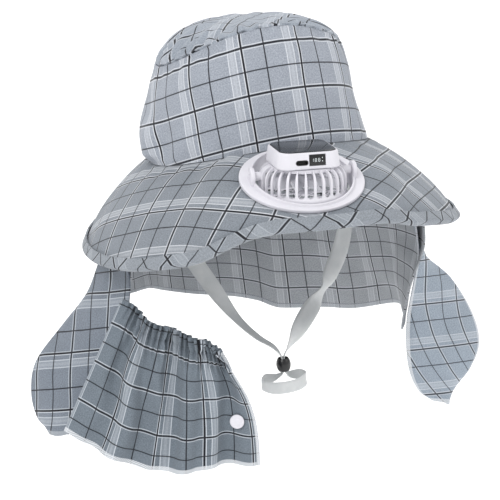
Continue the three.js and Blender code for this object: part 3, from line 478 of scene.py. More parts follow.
def makeBrim():
    def at(u, v):
        angle, share = u * 360 - 180, 1 - v
        p = brimPoint(angle, share)
        if v < 1:
            return p
        return around(angle, head["halfWidth"] - crown["cloth"], head["halfLength"] - crown["cloth"], p.z)

    def flat(u, v):
        return brimFlat(u * 360 - 180, 1 - v)

    def relief(u, v, p):
        local = toBracket @ p
        away = math.hypot(local.x / bracketSeat["halfWidth"], local.y / bracketSeat["halfDepth"])
        free = smooth(1.05, 1.5, away) * smooth(1, 0.9, v) * smooth(0, 0.08, v)
        angle = math.radians(u * 360 - 180)
        tuck = 0.7 * smooth(0.75, 0.93, v) * math.sin(angle * 27 + 4 * ripple(p, 55))
        return free * (0.9 * ripple(p, 45, 3) + 0.35 * ripple(p, 20, 9) + tuck)

    obj = clothGrid("brim_cloth", brim["columns"], brim["rows"], at, flat, relief=relief, closed=True)
    finishCloth(obj, brim["cloth"], 50)
    cutter = fanHole()
    applyModifier(obj, "BOOLEAN", operation="DIFFERENCE", solver="EXACT", object=cutter)
    bpy.data.objects.remove(cutter)
    smoothByAngle(obj, 50)
    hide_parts("brim")
    return obj


def fanHole():
    radius = bracketSeat["opening"] + bracketSeat["sleeveWall"] + bracketSeat["clearance"]
    deselectAll()
    bpy.ops.mesh.primitive_cylinder_add(vertices=96, radius=radius * mm, depth=16 * mm)
    obj = bpy.context.object
    place = bracketFrame.copy()
    place.translation *= mm
    obj.matrix_world = place
    return obj


# Binding: a folded bias strip round the brim's edge, slightly curled

binding = {"width": 6.5, "cloth": 1.1, "ease": 1.0, "sections": 540, "wave": 0.5}


def makeBinding():
    ease, thick, width = binding["ease"], binding["cloth"], binding["width"]
    low = -brim["cloth"] - ease
    middle = low / 2 + ease / 2
    bend = [math.radians(90 + 180 * n / 8) for n in range(9)]
    half = (ease - low) / 2
    outer = [(-ease + thick * math.cos(a), middle + (half + thick) * math.sin(a)) for a in bend]
    inner = [(-ease * 0.6 + 0.4 * math.cos(a), middle + half * math.sin(a)) for a in reversed(bend)]
    profile = [(width, ease), (width, ease + thick), (width * 0.5, ease + thick)] + outer \
        + [(width * 0.5, low - thick), (width, low - thick), (width, low)] + inner
    sections, run, before = [], 0.0, None
    for n in range(binding["sections"]):
        angle = 360 * n / binding["sections"] - 180
        edge = brimPoint(angle, 1)
        inward = (brimPoint(angle, 0.93) - edge).normalized()
        ahead = (brimPoint(angle + 0.5, 1) - brimPoint(angle - 0.5, 1)).normalized()
        up = ahead.cross(inward).normalized()
        run += (edge - before).length if before else 0
        before = edge
        swell = binding["wave"] * (0.5 + 0.5 * ripple(edge, 14, 3))
        section, girth, last = [], 0.0, None
        for x, y in profile:
            stretch = 1 + 0.1 * swell if y > middle else 1
            p = edge + inward * (x * stretch) + up * y
            if last is not None:
                girth += math.hypot(x - last[0], y - last[1])
            last = (x, y)
            if x > 1 and abs(y - middle) > 3:
                p += up * (swell * smooth(0, width, x) * (1 if y > middle else -0.4))
            section.append((p, girth, run))
        sections.append(section)
    obj = loftBand("binding_cloth", sections, closed=True)
    smoothByAngle(obj, 55)
    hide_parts("brim_binding")
    return obj


crownCloth = makeCrownSide()
crownTipCloth = makeCrownTip()
brimCloth = makeBrim()
bindingCloth = makeBinding()
for piece in (crownCloth, crownTipCloth, brimCloth, bindingCloth):
    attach(piece, "hat")
print("crown and brim made")


# Neck flap, cheek flaps and veil

neck = {"flatWidth": 470, "flatLength": 150, "cloth": 1.3, "reach": 142, "drop": 182, "seamShare": 0.48,
        "folds": 6, "foldDepth": 2.4, "rightBulge": 22, "columns": 300, "rows": 60,
        "plaidAcross": -288, "plaidUp": 102.5, "plaidWide": 1.085, "plaidTall": 1.2}
neckHem = (  # turn, reach share, drop share
    (-70, 0.935, 0.505), (-90, 0.873, 0.6), (-110, 0.824, 0.654), (-123, 0.79, 0.672), (-152, 0.8, 0.785),
    (-187, 0.81, 0.9), (-197, 0.89, 0.966), (-218, 1, 1), (-228, 1, 0.99), (-252, 0.923, 0.918),
    (-268, 0.831, 0.91), (-284, 0.75, 0.935),
)
leftFlap = {"cloth": 1.3, "spread": 208, "drop": 202, "forward": 54, "seamShare": 0.6, "bulge": 5,
            "front": -70, "rear": -104, "side": -1, "columns": 90, "rows": 150,
            "plaidSlope": 0.14, "plaidUp": 148.4, "plaidTall": 1.045, "plaidAcross": 118.2,
            "plaidWide": 1.178}
rightFlap = {"cloth": 1.3, "spread": 179, "drop": 237, "forward": 42, "seamShare": 0.6, "bulge": 5,
             "front": 80, "rear": 106, "side": 1, "columns": 90, "rows": 150,
             "plaidSlope": 0.06, "plaidUp": 178.5, "plaidTall": -1.238, "plaidAcross": -141.6,
             "plaidWide": 1.167}
leftRows = (  # down, front edge's out, ahead and drop, rear edge's out, ahead and drop
    (0.25, 0.596, 0.778, 0.371, 0.659, -0.407, 0.406), (0.38, 0.606, 0.889, 0.47, 0.726, -0.407, 0.535),
    (0.52, 0.639, 0.926, 0.589, 0.841, -0.296, 0.644), (0.68, 0.697, 0.926, 0.718, 0.962, -0.148, 0.762),
    (0.82, 0.769, 0.926, 0.847, 1, 0, 0.871), (0.93, 0.841, 0.963, 0.931, 0.995, 0.222, 0.965),
    (1, 0.899, 1, 0.98, 0.962, 0.556, 1),
)
rightRows = (
    (0.3, 0.698, 0.476, 0.409, 0.782, -0.476, 0.451), (0.4, 0.69, 0.524, 0.47, 0.81, -0.333, 0.519),
    (0.52, 0.648, 0.619, 0.561, 0.916, -0.238, 0.603), (0.65, 0.598, 0.714, 0.671, 0.994, -0.048, 0.734),
    (0.77, 0.575, 0.81, 0.764, 1, 0.19, 0.84), (0.88, 0.575, 0.905, 0.865, 0.916, 0.476, 0.916),
    (0.95, 0.609, 0.952, 0.937, 0.804, 0.762, 0.962), (1, 0.665, 1, 0.975, 0.737, 1, 1),
)
veil = {"cloth": 1.3, "spread": 191, "drop": 235, "forward": 99, "gathers": 7, "gatherDepth": 1.5,
        "folds": 3, "foldDepth": 5, "belly": 9,
        "flatWidth": 185, "flatLength": 112, "casing": 0.1, "puckers": 26, "puckerDepth": 2.1,
        "columns": 230, "rows": 130, "plaidAcross": -131.9, "plaidUp": 84.2, "plaidWide": 1.095,
        "plaidTall": 1.087}
snap = {"radius": 5.6, "cap": 1.6, "across": 0.9, "up": 0.36, "proud": 1}
veilRows = (  # turn, gathered top's out, ahead and drop, hem's out, ahead and drop
    (0, 0.667, 0.499, 0.43, 0.974, 0.554, 0.842), (0.1, 0.702, 0.6, 0.41, 1.0, 0.62, 0.82),
    (0.2, 0.66, 0.66, 0.43, 0.932, 0.7, 0.86), (0.34, 0.607, 0.71, 0.487, 0.838, 0.79, 0.91),
    (0.5, 0.53, 0.76, 0.514, 0.69, 0.88, 0.972), (0.67, 0.46, 0.82, 0.548, 0.54, 0.94, 0.987),
    (0.84, 0.4, 0.88, 0.568, 0.39, 0.98, 0.987), (1, 0.356, 0.93, 0.613, 0.25, 1, 1),
)


def neckPoint(u, v):
    turn = lerp(-neckHem[0][0], -neckHem[-1][0], u)
    keys = [-row[0] for row in neckHem]
    fold = neck["foldDepth"] * math.cos(2 * math.pi * neck["folds"] * u) * v
    fold *= smooth(0, 0.15, u) * smooth(1, 0.85, u)
    reach = neck["reach"] * fromTable(keys, column(neckHem, 1), turn) + fold
    drop = neck["drop"] * fromTable(keys, column(neckHem, 2), turn)
    top = brimUnder(-turn, neck["seamShare"], brim["cloth"] + 2 * head["sewnGap"])
    bulge = neck["rightBulge"] * math.sin(math.pi * v) * (1 - v * v) * smooth(0.8, 1, u)
    return top.lerp(around(-turn, reach, reach, -drop), v) + around(-turn, bulge, bulge, 0)


flapAcross = Vector((0.963, -0.253, -0.097))  # the check lies level and plumb on a flap that hangs
flapUp = Vector((0.15, 0.201, 0.968))


def flapPoint(flap, rows, back, down):
    keys = column(rows, 0)
    first = rows[0][0]
    at = max(down, first)

    def mix(front, rear):
        return lerp(fromTable(keys, column(rows, front), at), fromTable(keys, column(rows, rear), at), back)

    bulge = flap["bulge"] * math.sin(math.pi * back) * smooth(0, 1, down)
    body = Vector((flap["side"] * (flap["spread"] * mix(1, 4) + bulge),
                   -flap["forward"] * mix(2, 5) - bulge, -flap["drop"] * mix(3, 6)))
    angle = lerp(flap["front"], flap["rear"], back)
    top = brimUnder(angle, flap["seamShare"], brim["cloth"] + 2 * head["sewnGap"])
    return top.lerp(body, min(1, down / first))


def veilPoint(along, up):
    keys = column(veilRows, 0)

    def side(out, ahead, drop):
        return Vector((-veil["spread"] * fromTable(keys, column(veilRows, out), along),
                       -veil["forward"] * fromTable(keys, column(veilRows, ahead), along),
                       -veil["drop"] * fromTable(keys, column(veilRows, drop), along)))

    p = side(4, 5, 6).lerp(side(1, 2, 3), up)
    free = smooth(0.14, 0.3, along) * smooth(1.05, 0.8, along)
    gather = veil["gatherDepth"] * math.cos(2 * math.pi * veil["gathers"] * along) * smooth(0.55, 1, up)
    fold = veil["foldDepth"] * math.cos(2 * math.pi * veil["folds"] * (along - 0.05 * up)) * (1 - 0.6 * up)
    belly = veil["belly"] * math.sin(math.pi * up) * smooth(0.6, 1, along)
    return p + Vector((belly, -free * (gather + fold), 0))


def makeNeck():
    def flat(u, v):
        return (neck["plaidWide"] * (neck["flatWidth"] * u + neck["plaidAcross"]),
                neck["plaidTall"] * (neck["plaidUp"] - neck["flatLength"] * v))

    def edges(u, v):
        return min(u, 1 - u) * neck["flatWidth"], (1 - v) * 140

    def relief(u, v, p):
        held = smooth(0, 0.1, v)
        pleat = 1.5 * math.sin(u * 60 + 4 * ripple(p, 70)) * smooth(1.0, 0.1, v) * smooth(0, 0.06, v)
        return held * (2.0 * ripple(p, 40, 2) + 0.8 * ripple(p, 18, 6)) + 0.5 * pleat

    obj = clothGrid("neck_flap_cloth", neck["columns"], neck["rows"], neckPoint, flat, edges, relief)
    return finishCloth(obj, neck["cloth"])


def makeFlap(name, flap, rows, node, width, length):
    side = flap["side"]

    def at(u, v):
        return flapPoint(flap, rows, u if side < 0 else 1 - u, v)

    def flat(u, v):
        p = at(u, v)
        across, up = p.dot(flapAcross), p.dot(flapUp)
        if side > 0:
            across -= 0.005 * max(0, -120 - up) ** 2  # the right flap's check is drawn towards its tip
        return (flap["plaidTall"] * (up - flap["plaidSlope"] * across + flap["plaidUp"]),
                flap["plaidWide"] * (across + flap["plaidAcross"]))

    def edges(u, v):
        return min(u, 1 - u) * width, (1 - v) * length

    def relief(u, v, p):
        held = smooth(0, 0.12, v) * smooth(0, 0.08, u) * smooth(1, 0.92, u)
        return held * (2.2 * ripple(p, 42, 5) + 0.9 * ripple(p, 19, 1))

    obj = clothGrid(name, flap["columns"], flap["rows"], at, flat, edges, relief)
    finishCloth(obj, flap["cloth"])
    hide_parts(node)
    return obj


def makeVeil():
    def at(u, v):
        return veilPoint(1 - u, 1 - v)

    def flat(u, v):
        return (veil["plaidWide"] * (veil["flatWidth"] * u + veil["plaidAcross"]),
                veil["plaidTall"] * (veil["plaidUp"] - veil["flatLength"] * v))

    def edges(u, v):
        return u * veil["flatWidth"], (1 - v) * veil["flatLength"]

    def relief(u, v, p):
        along = 1 - u
        free = smooth(0.1, 0.26, along) * smooth(0, 0.03, u)
        near = bell(along, snap["across"], 0.06) * bell(v, 1 - snap["up"], 0.12)
        free *= 1 - near  # the snap button lies flat on the cloth
        wave = along * 2 * math.pi * veil["puckers"] + 5 * ripple(p, 34)
        pucker = veil["puckerDepth"] * math.sin(wave) * (smooth(0.34, 0.06, v) + 0.5 * smooth(0.1, 0.0, v))
        groove = -1.3 * bell(v, veil["casing"], 0.018)
        fold = 3.4 * math.sin(along * 2 * math.pi * 6.5 + 3 * ripple(p, 60, 2)) * smooth(0.04, 0.3, v)
        return free * (pucker + groove + fold + 1.2 * ripple(p, 26, 4) * smooth(0.1, 0.4, v))

    obj = clothGrid("veil_cloth", veil["columns"], veil["rows"], at, flat, edges, relief)
    return finishCloth(obj, veil["cloth"])


neckCloth = makeNeck()
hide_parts("neck_flap")
leftCloth = makeFlap("left_cheek_cloth", leftFlap, leftRows, "left_cheek_flap", 150, 190)
rightCloth = makeFlap("right_cheek_cloth", rightFlap, rightRows, "right_cheek_flap", 110, 210)
veilCloth = makeVeil()
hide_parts("face_veil")
sheets = (  # piece, width and length that it is cut to, share of that rectangle, held, what it hangs from
    (neckCloth, 0.47, 0.15, 0.9, "hung", brimCloth),
    (leftCloth, 0.11, 0.19, 0.72, "hung", brimCloth),
    (rightCloth, 0.09, 0.21, 0.75, "hung", brimCloth),
    (veilCloth, 0.185, 0.112, 0.85, "gathered", leftCloth),
)
for piece, width, length, share, held, carrier in sheets:
    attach(piece, "hat")


def meshArea(obj):
    return sum(face.area for face in obj.data.polygons) / 2


for piece in (neckCloth, leftCloth, rightCloth, veilCloth):
    print(piece.name, "one-sided area, m2:", round(meshArea(piece), 4))
print("flaps and veil made")


# Hard pieces: started from a ring or a block and shaped in edit mode, then put in their frame

def editAll(obj):
    choose(obj)
    bpy.ops.object.mode_set(mode="EDIT")
    bpy.ops.mesh.select_all(action="SELECT")


def leaveEdit():
    bpy.ops.object.mode_set(mode="OBJECT")


def turnedPiece(name, rings, segments=96):  # rings of (half width, half depth, height), in millimetres
    deselectAll()
    wide, high = rings[0][0], rings[0][2]
    bpy.ops.mesh.primitive_circle_add(vertices=segments, radius=wide * mm, location=(0, 0, high * mm))
    obj = bpy.context.object
    obj.name = name
    bpy.ops.object.transform_apply(location=True)
    editAll(obj)
    before = (wide, wide, high)
    for ring in rings:
        bpy.ops.mesh.extrude_edges_move(TRANSFORM_OT_translate={"value": (0, 0, (ring[2] - before[2]) * mm)})
        factors = (ring[0] / before[0], ring[1] / before[1], 1)
        bpy.ops.transform.resize(value=factors, center_override=(0, 0, ring[2] * mm))
        before = ring
    closeUp()
    return obj


def merged(obj):  # joins the points that a cut leaves on top of each other
    editAll(obj)
    bpy.ops.mesh.remove_doubles(threshold=0.02 * mm)
    leaveEdit()
    return obj


def closeUp():  # in edit mode: merges the seam and turns the faces outwards
    bpy.ops.mesh.select_all(action="SELECT")
    bpy.ops.mesh.remove_doubles(threshold=0.00001)
    bpy.ops.mesh.select_all(action="SELECT")
    bpy.ops.mesh.normals_make_consistent(inside=False)
    leaveEdit()


def block(name, size, place=(0, 0, 0)):  # millimetres
    deselectAll()
    bpy.ops.mesh.primitive_cube_add(size=1, location=[v * mm for v in place])
    obj = bpy.context.object
    obj.name = name
    obj.scale = [v * mm for v in size]
    bpy.ops.object.transform_apply(location=True, scale=True)
    return obj


def rod(name, radius, start, end, axis="Z", sides=48):
    deselectAll()
    turn = {"X": (0, math.pi / 2, 0), "Y": (math.pi / 2, 0, 0), "Z": (0, 0, 0)}[axis]
    middle = [(start + end) / 2 * mm if axis == key else 0 for key in "XYZ"]
    bpy.ops.mesh.primitive_cylinder_add(vertices=sides, radius=radius * mm, depth=abs(end - start) * mm,
                                        location=middle, rotation=turn)
    obj = bpy.context.object
    obj.name = name
    bpy.ops.object.transform_apply(location=True, rotation=True)
    return obj


def bevelAll(obj, width, segments=3, angle=35):
    applyModifier(obj, "BEVEL", width=width * mm, segments=segments, limit_method="ANGLE",
                  angle_limit=math.radians(angle))


def bevelAlong(obj, axis, width, segments):  # rounds the edges that run along one axis
    editAll(obj)
    bpy.ops.mesh.select_mode(type="EDGE")
    bpy.ops.mesh.select_all(action="DESELECT")
    leaveEdit()
    for edge in obj.data.edges:
        run = obj.data.vertices[edge.vertices[0]].co - obj.data.vertices[edge.vertices[1]].co
        edge.select = abs(run[axis]) > 0.99 * run.length
    bpy.ops.object.mode_set(mode="EDIT")
    bpy.ops.mesh.bevel(offset=width * mm, segments=segments)
    bpy.ops.mesh.select_mode(type="VERT")
    leaveEdit()


def cutWith(obj, cutter, operation="DIFFERENCE"):
    applyModifier(obj, "BOOLEAN", operation=operation, solver="EXACT", object=cutter)
    bpy.data.objects.remove(cutter)


def joined(name, pieces):
    deselectAll()
    for piece in pieces:
        piece.select_set(True)
    bpy.context.view_layer.objects.active = pieces[0]
    bpy.ops.object.join()
    obj = bpy.context.object
    obj.name = name
    return obj


def copied(obj, name):
    twin = obj.copy()
    twin.data = obj.data.copy()
    twin.name = name
    bpy.context.collection.objects.link(twin)
    return twin


def spun(obj, degrees):
    obj.rotation_euler = (0, 0, math.radians(degrees))
    choose(obj)
    bpy.ops.object.transform_apply(rotation=True)
    return obj


def placed(obj, place, degrees=35):
    frameMetres = place.copy()
    frameMetres.translation = place.translation * mm
    smoothByAngle(obj, degrees)
    obj.matrix_world = frameMetres
    choose(obj)
    bpy.ops.object.transform_apply(location=True, rotation=True, scale=True)
    return obj


def hand(obj, node, body):  # the piece takes a solid's place
    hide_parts(node)
    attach(obj, body)
    return obj


# Bracket and lock ring of the fan

bracket = {"plate": 3, "collar": 2.4, "earWidth": 13, "earThickness": 3, "pivotRise": 4, "edge": 1.1}
lockRing = {"width": 1.8, "thickness": 2.4, "ease": 0.75}
plateTop = head["sewnGap"] + bracket["plate"]
sleeveOuter = bracketSeat["opening"] + bracketSeat["sleeveWall"]
ringTop = -brim["cloth"] - lockRing["ease"]
sleeveBottom = ringTop - head["sewnGap"] - lockRing["thickness"]
pivotHeight = plateTop + bracket["pivotRise"]


def liftedTo(obj, height):
    obj.location.z = height * mm
    choose(obj)
    bpy.ops.object.transform_apply(location=True)
    return obj


def makeBracket():
    hole, edge = bracketSeat["opening"], bracket["edge"]
    wide, deep = bracketSeat["halfWidth"], bracketSeat["halfDepth"]
    rim, under = plateTop + bracket["collar"], head["sewnGap"]
    rings = [(hole, sleeveBottom), (hole, rim - 0.5), (hole + 0.15, rim - 0.15), (hole + 0.5, rim),
             (sleeveOuter - 0.5, rim), (sleeveOuter - 0.15, rim - 0.15), (sleeveOuter, rim - 0.5),
             (sleeveOuter + 0.05, plateTop + 0.6), (sleeveOuter + 0.2, plateTop + 0.2),
             (sleeveOuter + 0.7, plateTop)]
    rings = [(radius, radius, height) for radius, height in rings]
    for degrees in range(0, 91, 15):
        a = math.radians(degrees)
        out, down = edge * math.sin(a), edge * (1 - math.cos(a))
        rings.append((wide - edge + out, deep - edge + out, plateTop - down))
    rings += [(wide, deep, under + 0.5), (wide - 0.2, deep - 0.2, under + 0.1),
              (wide - 0.6, deep - 0.6, under), (sleeveOuter, sleeveOuter, under),
              (sleeveOuter, sleeveOuter, sleeveBottom), (hole, hole, sleeveBottom)]
    obj = turnedPiece("bracket_shell", rings, 128)
    for inner in (hole, -hole - bracket["earThickness"]):
        ear = rod("ear", bracket["earWidth"] / 2, inner, inner + bracket["earThickness"], "X", 64)
        liftedTo(ear, pivotHeight)
        editAll(ear)
        bpy.ops.mesh.bisect(plane_co=(0, 0, pivotHeight * mm), plane_no=(0, 0, 1), clear_inner=True)
        root = (plateTop - 1 - pivotHeight) * mm  # the ear's foot sinks a little into the plate
        bpy.ops.mesh.extrude_edges_move(TRANSFORM_OT_translate={"value": (0, 0, root)})
        bpy.ops.mesh.edge_face_add()
        closeUp()
        bevelAll(ear, 0.7, 4)
        cutWith(ear, liftedTo(rod("bore", fan["pin"] + fan["pinClearance"], -60, 60, "X", 32), pivotHeight))
        cutWith(obj, ear, "UNION")
    return hand(placed(obj, bracketFrame), "fan_bracket", "hat")


def makeLockRing():
    inner, top = sleeveOuter + head["sewnGap"], ringTop
    outer, low = inner + lockRing["width"], ringTop - lockRing["thickness"]
    rings = [(inner, low), (outer - 0.5, low), (outer - 0.1, low + 0.2), (outer, low + 0.6),
             (outer, top - 0.8), (outer - 0.25, top - 0.3), (outer - 0.8, top), (inner, top), (inner, low)]
    obj = turnedPiece("lock_ring_shell", [(r, r, z) for r, z in rings], 128)
    return hand(placed(obj, bracketFrame), "fan_lock_ring", "hat")


# Fan head: the cage, its grille, the impeller and the control box

fan = {
    "restTilt": -20.5, "radius": 32.2, "bottom": -15.6, "rim": 4, "wall": 1.8, "top": 7,
    "slots": 30, "slotWidth": 4.7, "slotTop": 11, "slotInner": 24.6, "pin": 1.6, "pinClearance": 0.35,
    "motorRadius": 7, "motorHeight": 5, "running": 0.4,
    "solidBesidePin": 10,  # degrees of the cage's wall without slots on each side of a pin
}
impellerShape = {
    "radius": 26, "hub": 8, "height": 9, "blades": 9, "blade": 1.2, "pitch": 46,
    "twist": 16, "twistSteps": 8, "shaft": 1.5,
}
headFrame = (bracketFrame @ Matrix.Translation((0, 0, pivotHeight))
             @ Matrix.Rotation(math.radians(fan["restTilt"]), 4, "X"))
hubTop = fan["top"] - fan["wall"] - fan["motorHeight"] - fan["running"]
hubBottom = hubTop - impellerShape["height"]


def stadium(name, width, length, depth):  # a rounded prism, its length along Z, its depth along Y from 0
    obj = block(name, (width, depth, length), (0, depth / 2, 0))
    bevelAlong(obj, 1, width * 0.495, 8)
    return obj


def makeCage():
    wall, low, wide = fan["wall"], fan["bottom"], fan["radius"]
    rimTop = low + fan["rim"]
    outside = [(wide - 0.8, low), (wide - 0.2, low + 0.2), (wide, low + 0.8), (wide, rimTop - 0.9),
               (wide - 0.25, rimTop - 0.4), (wide - 0.35, rimTop), (wide - 0.3, -4), (wide - 0.35, -1.6),
               (31.5, 0.4), (30.9, 2.2), (29.8, 4.1), (28.4, 5.5), (26.6, 6.5), (24.5, 7), (12, 7),
               (0.001, 7)]
    inside = [(0.001, 5.2), (12, 5.2), (23.8, 5.2), (25.8, 4.7), (27.4, 3.8), (28.6, 2.5), (29.6, 0.6),
              (30, -1.5), (wide - wall, -4), (wide - wall, low)]
    obj = turnedPiece("cage_shell", [(r, r, z) for r, z in outside + inside + outside[:1]], 120)
    length = fan["slotTop"] - rimTop
    first = stadium("slot", fan["slotWidth"], length, 20)
    first.location = (0, fan["slotInner"] * mm, (rimTop + length / 2) * mm)
    choose(first)
    bpy.ops.object.transform_apply(location=True)
    cutters = []
    for n in range(fan["slots"]):
        degrees = (n + 0.5) * 360 / fan["slots"]
        if abs(math.sin(math.radians(degrees))) <= math.cos(math.radians(fan["solidBesidePin"])):
            cutters.append(spun(copied(first, "slot"), degrees))
    bpy.data.objects.remove(first)
    cutWith(obj, joined("slots", cutters))
    parts = [obj]
    for side in (-1, 1):
        inner = wide - wall + 0.4
        bossEnd = side * (bracketSeat["opening"] - head["sewnGap"])
        pinEnd = side * (bracketSeat["opening"] + bracket["earThickness"])
        boss = rod("boss", 2 * fan["pin"], side * inner, bossEnd, "X", 40)
        bevelAll(boss, 0.35)
        pin = rod("pin", fan["pin"], side * inner, pinEnd, "X", 32)
        bevelAll(pin, 0.3)
        parts += [boss, pin]
    motor = rod("motor", fan["motorRadius"], hubTop + fan["running"], fan["top"] - fan["wall"] / 2, "Z", 64)
    bevelAll(motor, 0.6)
    shaft = rod("shaft", impellerShape["shaft"], hubBottom + 2, fan["top"] - fan["wall"] / 2, "Z", 32)
    for part in parts[1:] + [motor, shaft]:
        cutWith(obj, part, "UNION")
    return hand(placed(merged(obj), headFrame, 40), "fan_cage", "fan_head")


def makeImpeller():
    shape = impellerShape
    hub = shape["hub"]
    bore = shape["shaft"] + fan["running"]
    rings = [(bore, hubTop), (hub - 1.2, hubTop), (hub - 0.3, hubTop - 0.3), (hub, hubTop - 1.2),
             (hub, hubBottom + 1), (hub - 0.3, hubBottom + 0.3), (hub - 1, hubBottom), (4, hubBottom),
             (3.6, hubBottom + 0.4),
             (0.001, hubBottom + 0.4), (0.001, hubBottom + 1.6), (bore, hubBottom + 1.6), (bore, hubTop)]
    obj = turnedPiece("impeller_shell", [(r, r, z) for r, z in rings], 72)
    inner = hub - shape["blade"]
    length = shape["radius"] - inner
    middle = (hubTop + hubBottom) / 2
    blade = block("blade", (length, shape["blade"], shape["height"]), (inner + length / 2, 0, 0))
    steps = shape["twistSteps"]
    editAll(blade)
    bpy.ops.mesh.subdivide(number_cuts=steps - 1)
    leaveEdit()
    for step in range(1, steps + 1):  # each cut turns all that lies outside it a little further
        edge = inner + length * (step - 0.5) / steps
        for v in blade.data.vertices:
            v.select = v.co.x > edge * mm
        bpy.ops.object.mode_set(mode="EDIT")
        bpy.ops.transform.rotate(value=math.radians(shape["twist"] / steps), orient_axis="X",
                                 center_override=(0, 0, 0))
        leaveEdit()
    blade.rotation_euler = (math.radians(shape["pitch"]), 0, 0)
    blade.location = (0, 0, middle * mm)
    choose(blade)
    bpy.ops.object.transform_apply(location=True, rotation=True)
    bevelAll(blade, 0.3, 2, 60)
    for n in range(shape["blades"]):
        cutWith(obj, spun(copied(blade, "blade"), 360 * n / shape["blades"]), "UNION")
    bpy.data.objects.remove(blade)
    return hand(placed(merged(obj), headFrame), "impeller", "impeller_rotor")


grille = {"thickness": 1.6, "bars": 6, "barWidth": 1.5, "barThickness": 1.1, "hub": 7, "ring": 19,
          "ringWidth": 1.6}


def makeGrille():
    outer = fan["radius"] - fan["wall"] - head["sewnGap"]
    low, high = fan["bottom"], fan["bottom"] + grille["thickness"]

    def hoop(name, radius, width):
        rings = [(radius - width, low + 0.3), (radius - width, high - 0.3), (radius - width + 0.3, high),
                 (radius - 0.3, high), (radius, high - 0.3), (radius, low + 0.3), (radius - 0.3, low),
                 (radius - width + 0.3, low), (radius - width, low + 0.3)]
        return turnedPiece(name, [(r, r, z) for r, z in rings], 96)

    obj = hoop("grille_shell", outer, grille["ringWidth"])
    cutWith(obj, hoop("hoop", grille["ring"], grille["ringWidth"]), "UNION")
    hub = rod("hub", grille["hub"], low + 0.05, high + 0.25, "Z", 64)
    bevelAll(hub, 0.4)
    reach = outer - grille["ringWidth"] / 2
    start = grille["hub"] / 2
    bar = block("bar", (reach - start, grille["barWidth"], grille["barThickness"]),
                ((reach + start) / 2, 0, (low + high) / 2))
    bevelAll(bar, 0.25)
    for n in range(grille["bars"]):
        cutWith(obj, spun(copied(bar, "bar"), 360 * n / grille["bars"]), "UNION")
    bpy.data.objects.remove(bar)
    cutWith(obj, hub, "UNION")
    return hand(placed(merged(obj), headFrame), "outlet_grille", "fan_head")


box = {"width": 47, "depth": 45, "height": 12, "draft": 1.6, "corner": 9, "edge": 1.3}
panel = {"margin": 1.4, "thickness": 1.2}
display = {"width": 11.4, "height": 7.4, "thickness": 1.2, "across": 4.6, "lift": 0.6}
port = {"width": 8.6, "height": 3, "depth": 5, "across": -6.6, "lift": -1}
boxBottom = fan["top"] + head["sewnGap"]
boxTop = boxBottom + box["height"]
faceLean = math.atan2(box["draft"], box["height"])
faceFrame = (Matrix.Translation((0, -(box["depth"] - box["draft"]) / 2, (boxBottom + boxTop) / 2))
             @ Matrix.Rotation(-faceLean, 4, "X"))


def roundedBlock(name, width, depth, low, high, corner, segments=10):
    obj = block(name, (width, depth, high - low), (0, 0, (low + high) / 2))
    bevelAlong(obj, 2, corner, segments)
    return obj


def onFace(obj, across, lift):  # puts a piece on the box's leaning front
    place = faceFrame.copy()
    place.translation = (faceFrame.translation + Vector((across, 0, lift))) * mm
    obj.matrix_world = place
    choose(obj)
    bpy.ops.object.transform_apply(location=True, rotation=True)
    return obj


def makeBox():
    wide, deep, draft = box["width"], box["depth"], box["draft"]
    obj = roundedBlock("box_shell", wide, deep, boxBottom, boxTop, box["corner"])
    editAll(obj)
    bpy.ops.mesh.select_all(action="DESELECT")
    leaveEdit()
    for v in obj.data.vertices:
        v.select = v.co.z > (boxTop - 1) * mm
    bpy.ops.object.mode_set(mode="EDIT")
    shrink = ((wide - 2 * draft) / wide, (deep - 2 * draft) / deep, 1)
    bpy.ops.transform.resize(value=shrink, center_override=(0, 0, boxTop * mm))
    leaveEdit()
    bevelAll(obj, box["edge"], 4, 50)
    margin = draft + panel["margin"] - head["sewnGap"]
    pocket = roundedBlock("pocket", wide - 2 * margin, deep - 2 * margin, boxTop - panel["thickness"],
                          boxTop + 2, box["corner"] - margin / 2)
    cutWith(obj, pocket)
    ease = head["sewnGap"]
    window = block("window", (display["width"] + 2 * ease, 2 * display["thickness"] + 2 * ease,
                              display["height"] + 2 * ease))
    cutWith(obj, onFace(window, display["across"], display["lift"]))
    hole = stadium("socket", port["height"] + 2 * ease, port["width"] + 2 * ease, port["depth"] + 2)
    hole.rotation_euler = (0, math.pi / 2, 0)
    hole.location = (0, -mm, 0)
    choose(hole)
    bpy.ops.object.transform_apply(location=True, rotation=True)
    cutWith(obj, onFace(hole, port["across"], port["lift"]))
    return hand(placed(obj, headFrame, 30), "control_box", "fan_head")


def makePanel():
    margin = box["draft"] + panel["margin"]
    low = boxTop - panel["thickness"] + head["sewnGap"]
    obj = roundedBlock("panel_glass", box["width"] - 2 * margin, box["depth"] - 2 * margin, low,
                       low + panel["thickness"], box["corner"] - margin / 2)
    bevelAll(obj, 0.3, 3, 50)
    return hand(placed(obj, headFrame), "solar_panel", "fan_head")


digitBars = {"1": "bc", "8": "abcdefg"}
digit = {"halfWide": 0.6, "halfHigh": 1.15, "line": 0.24, "dot": 0.5, "raised": 0.1}  # lit segments


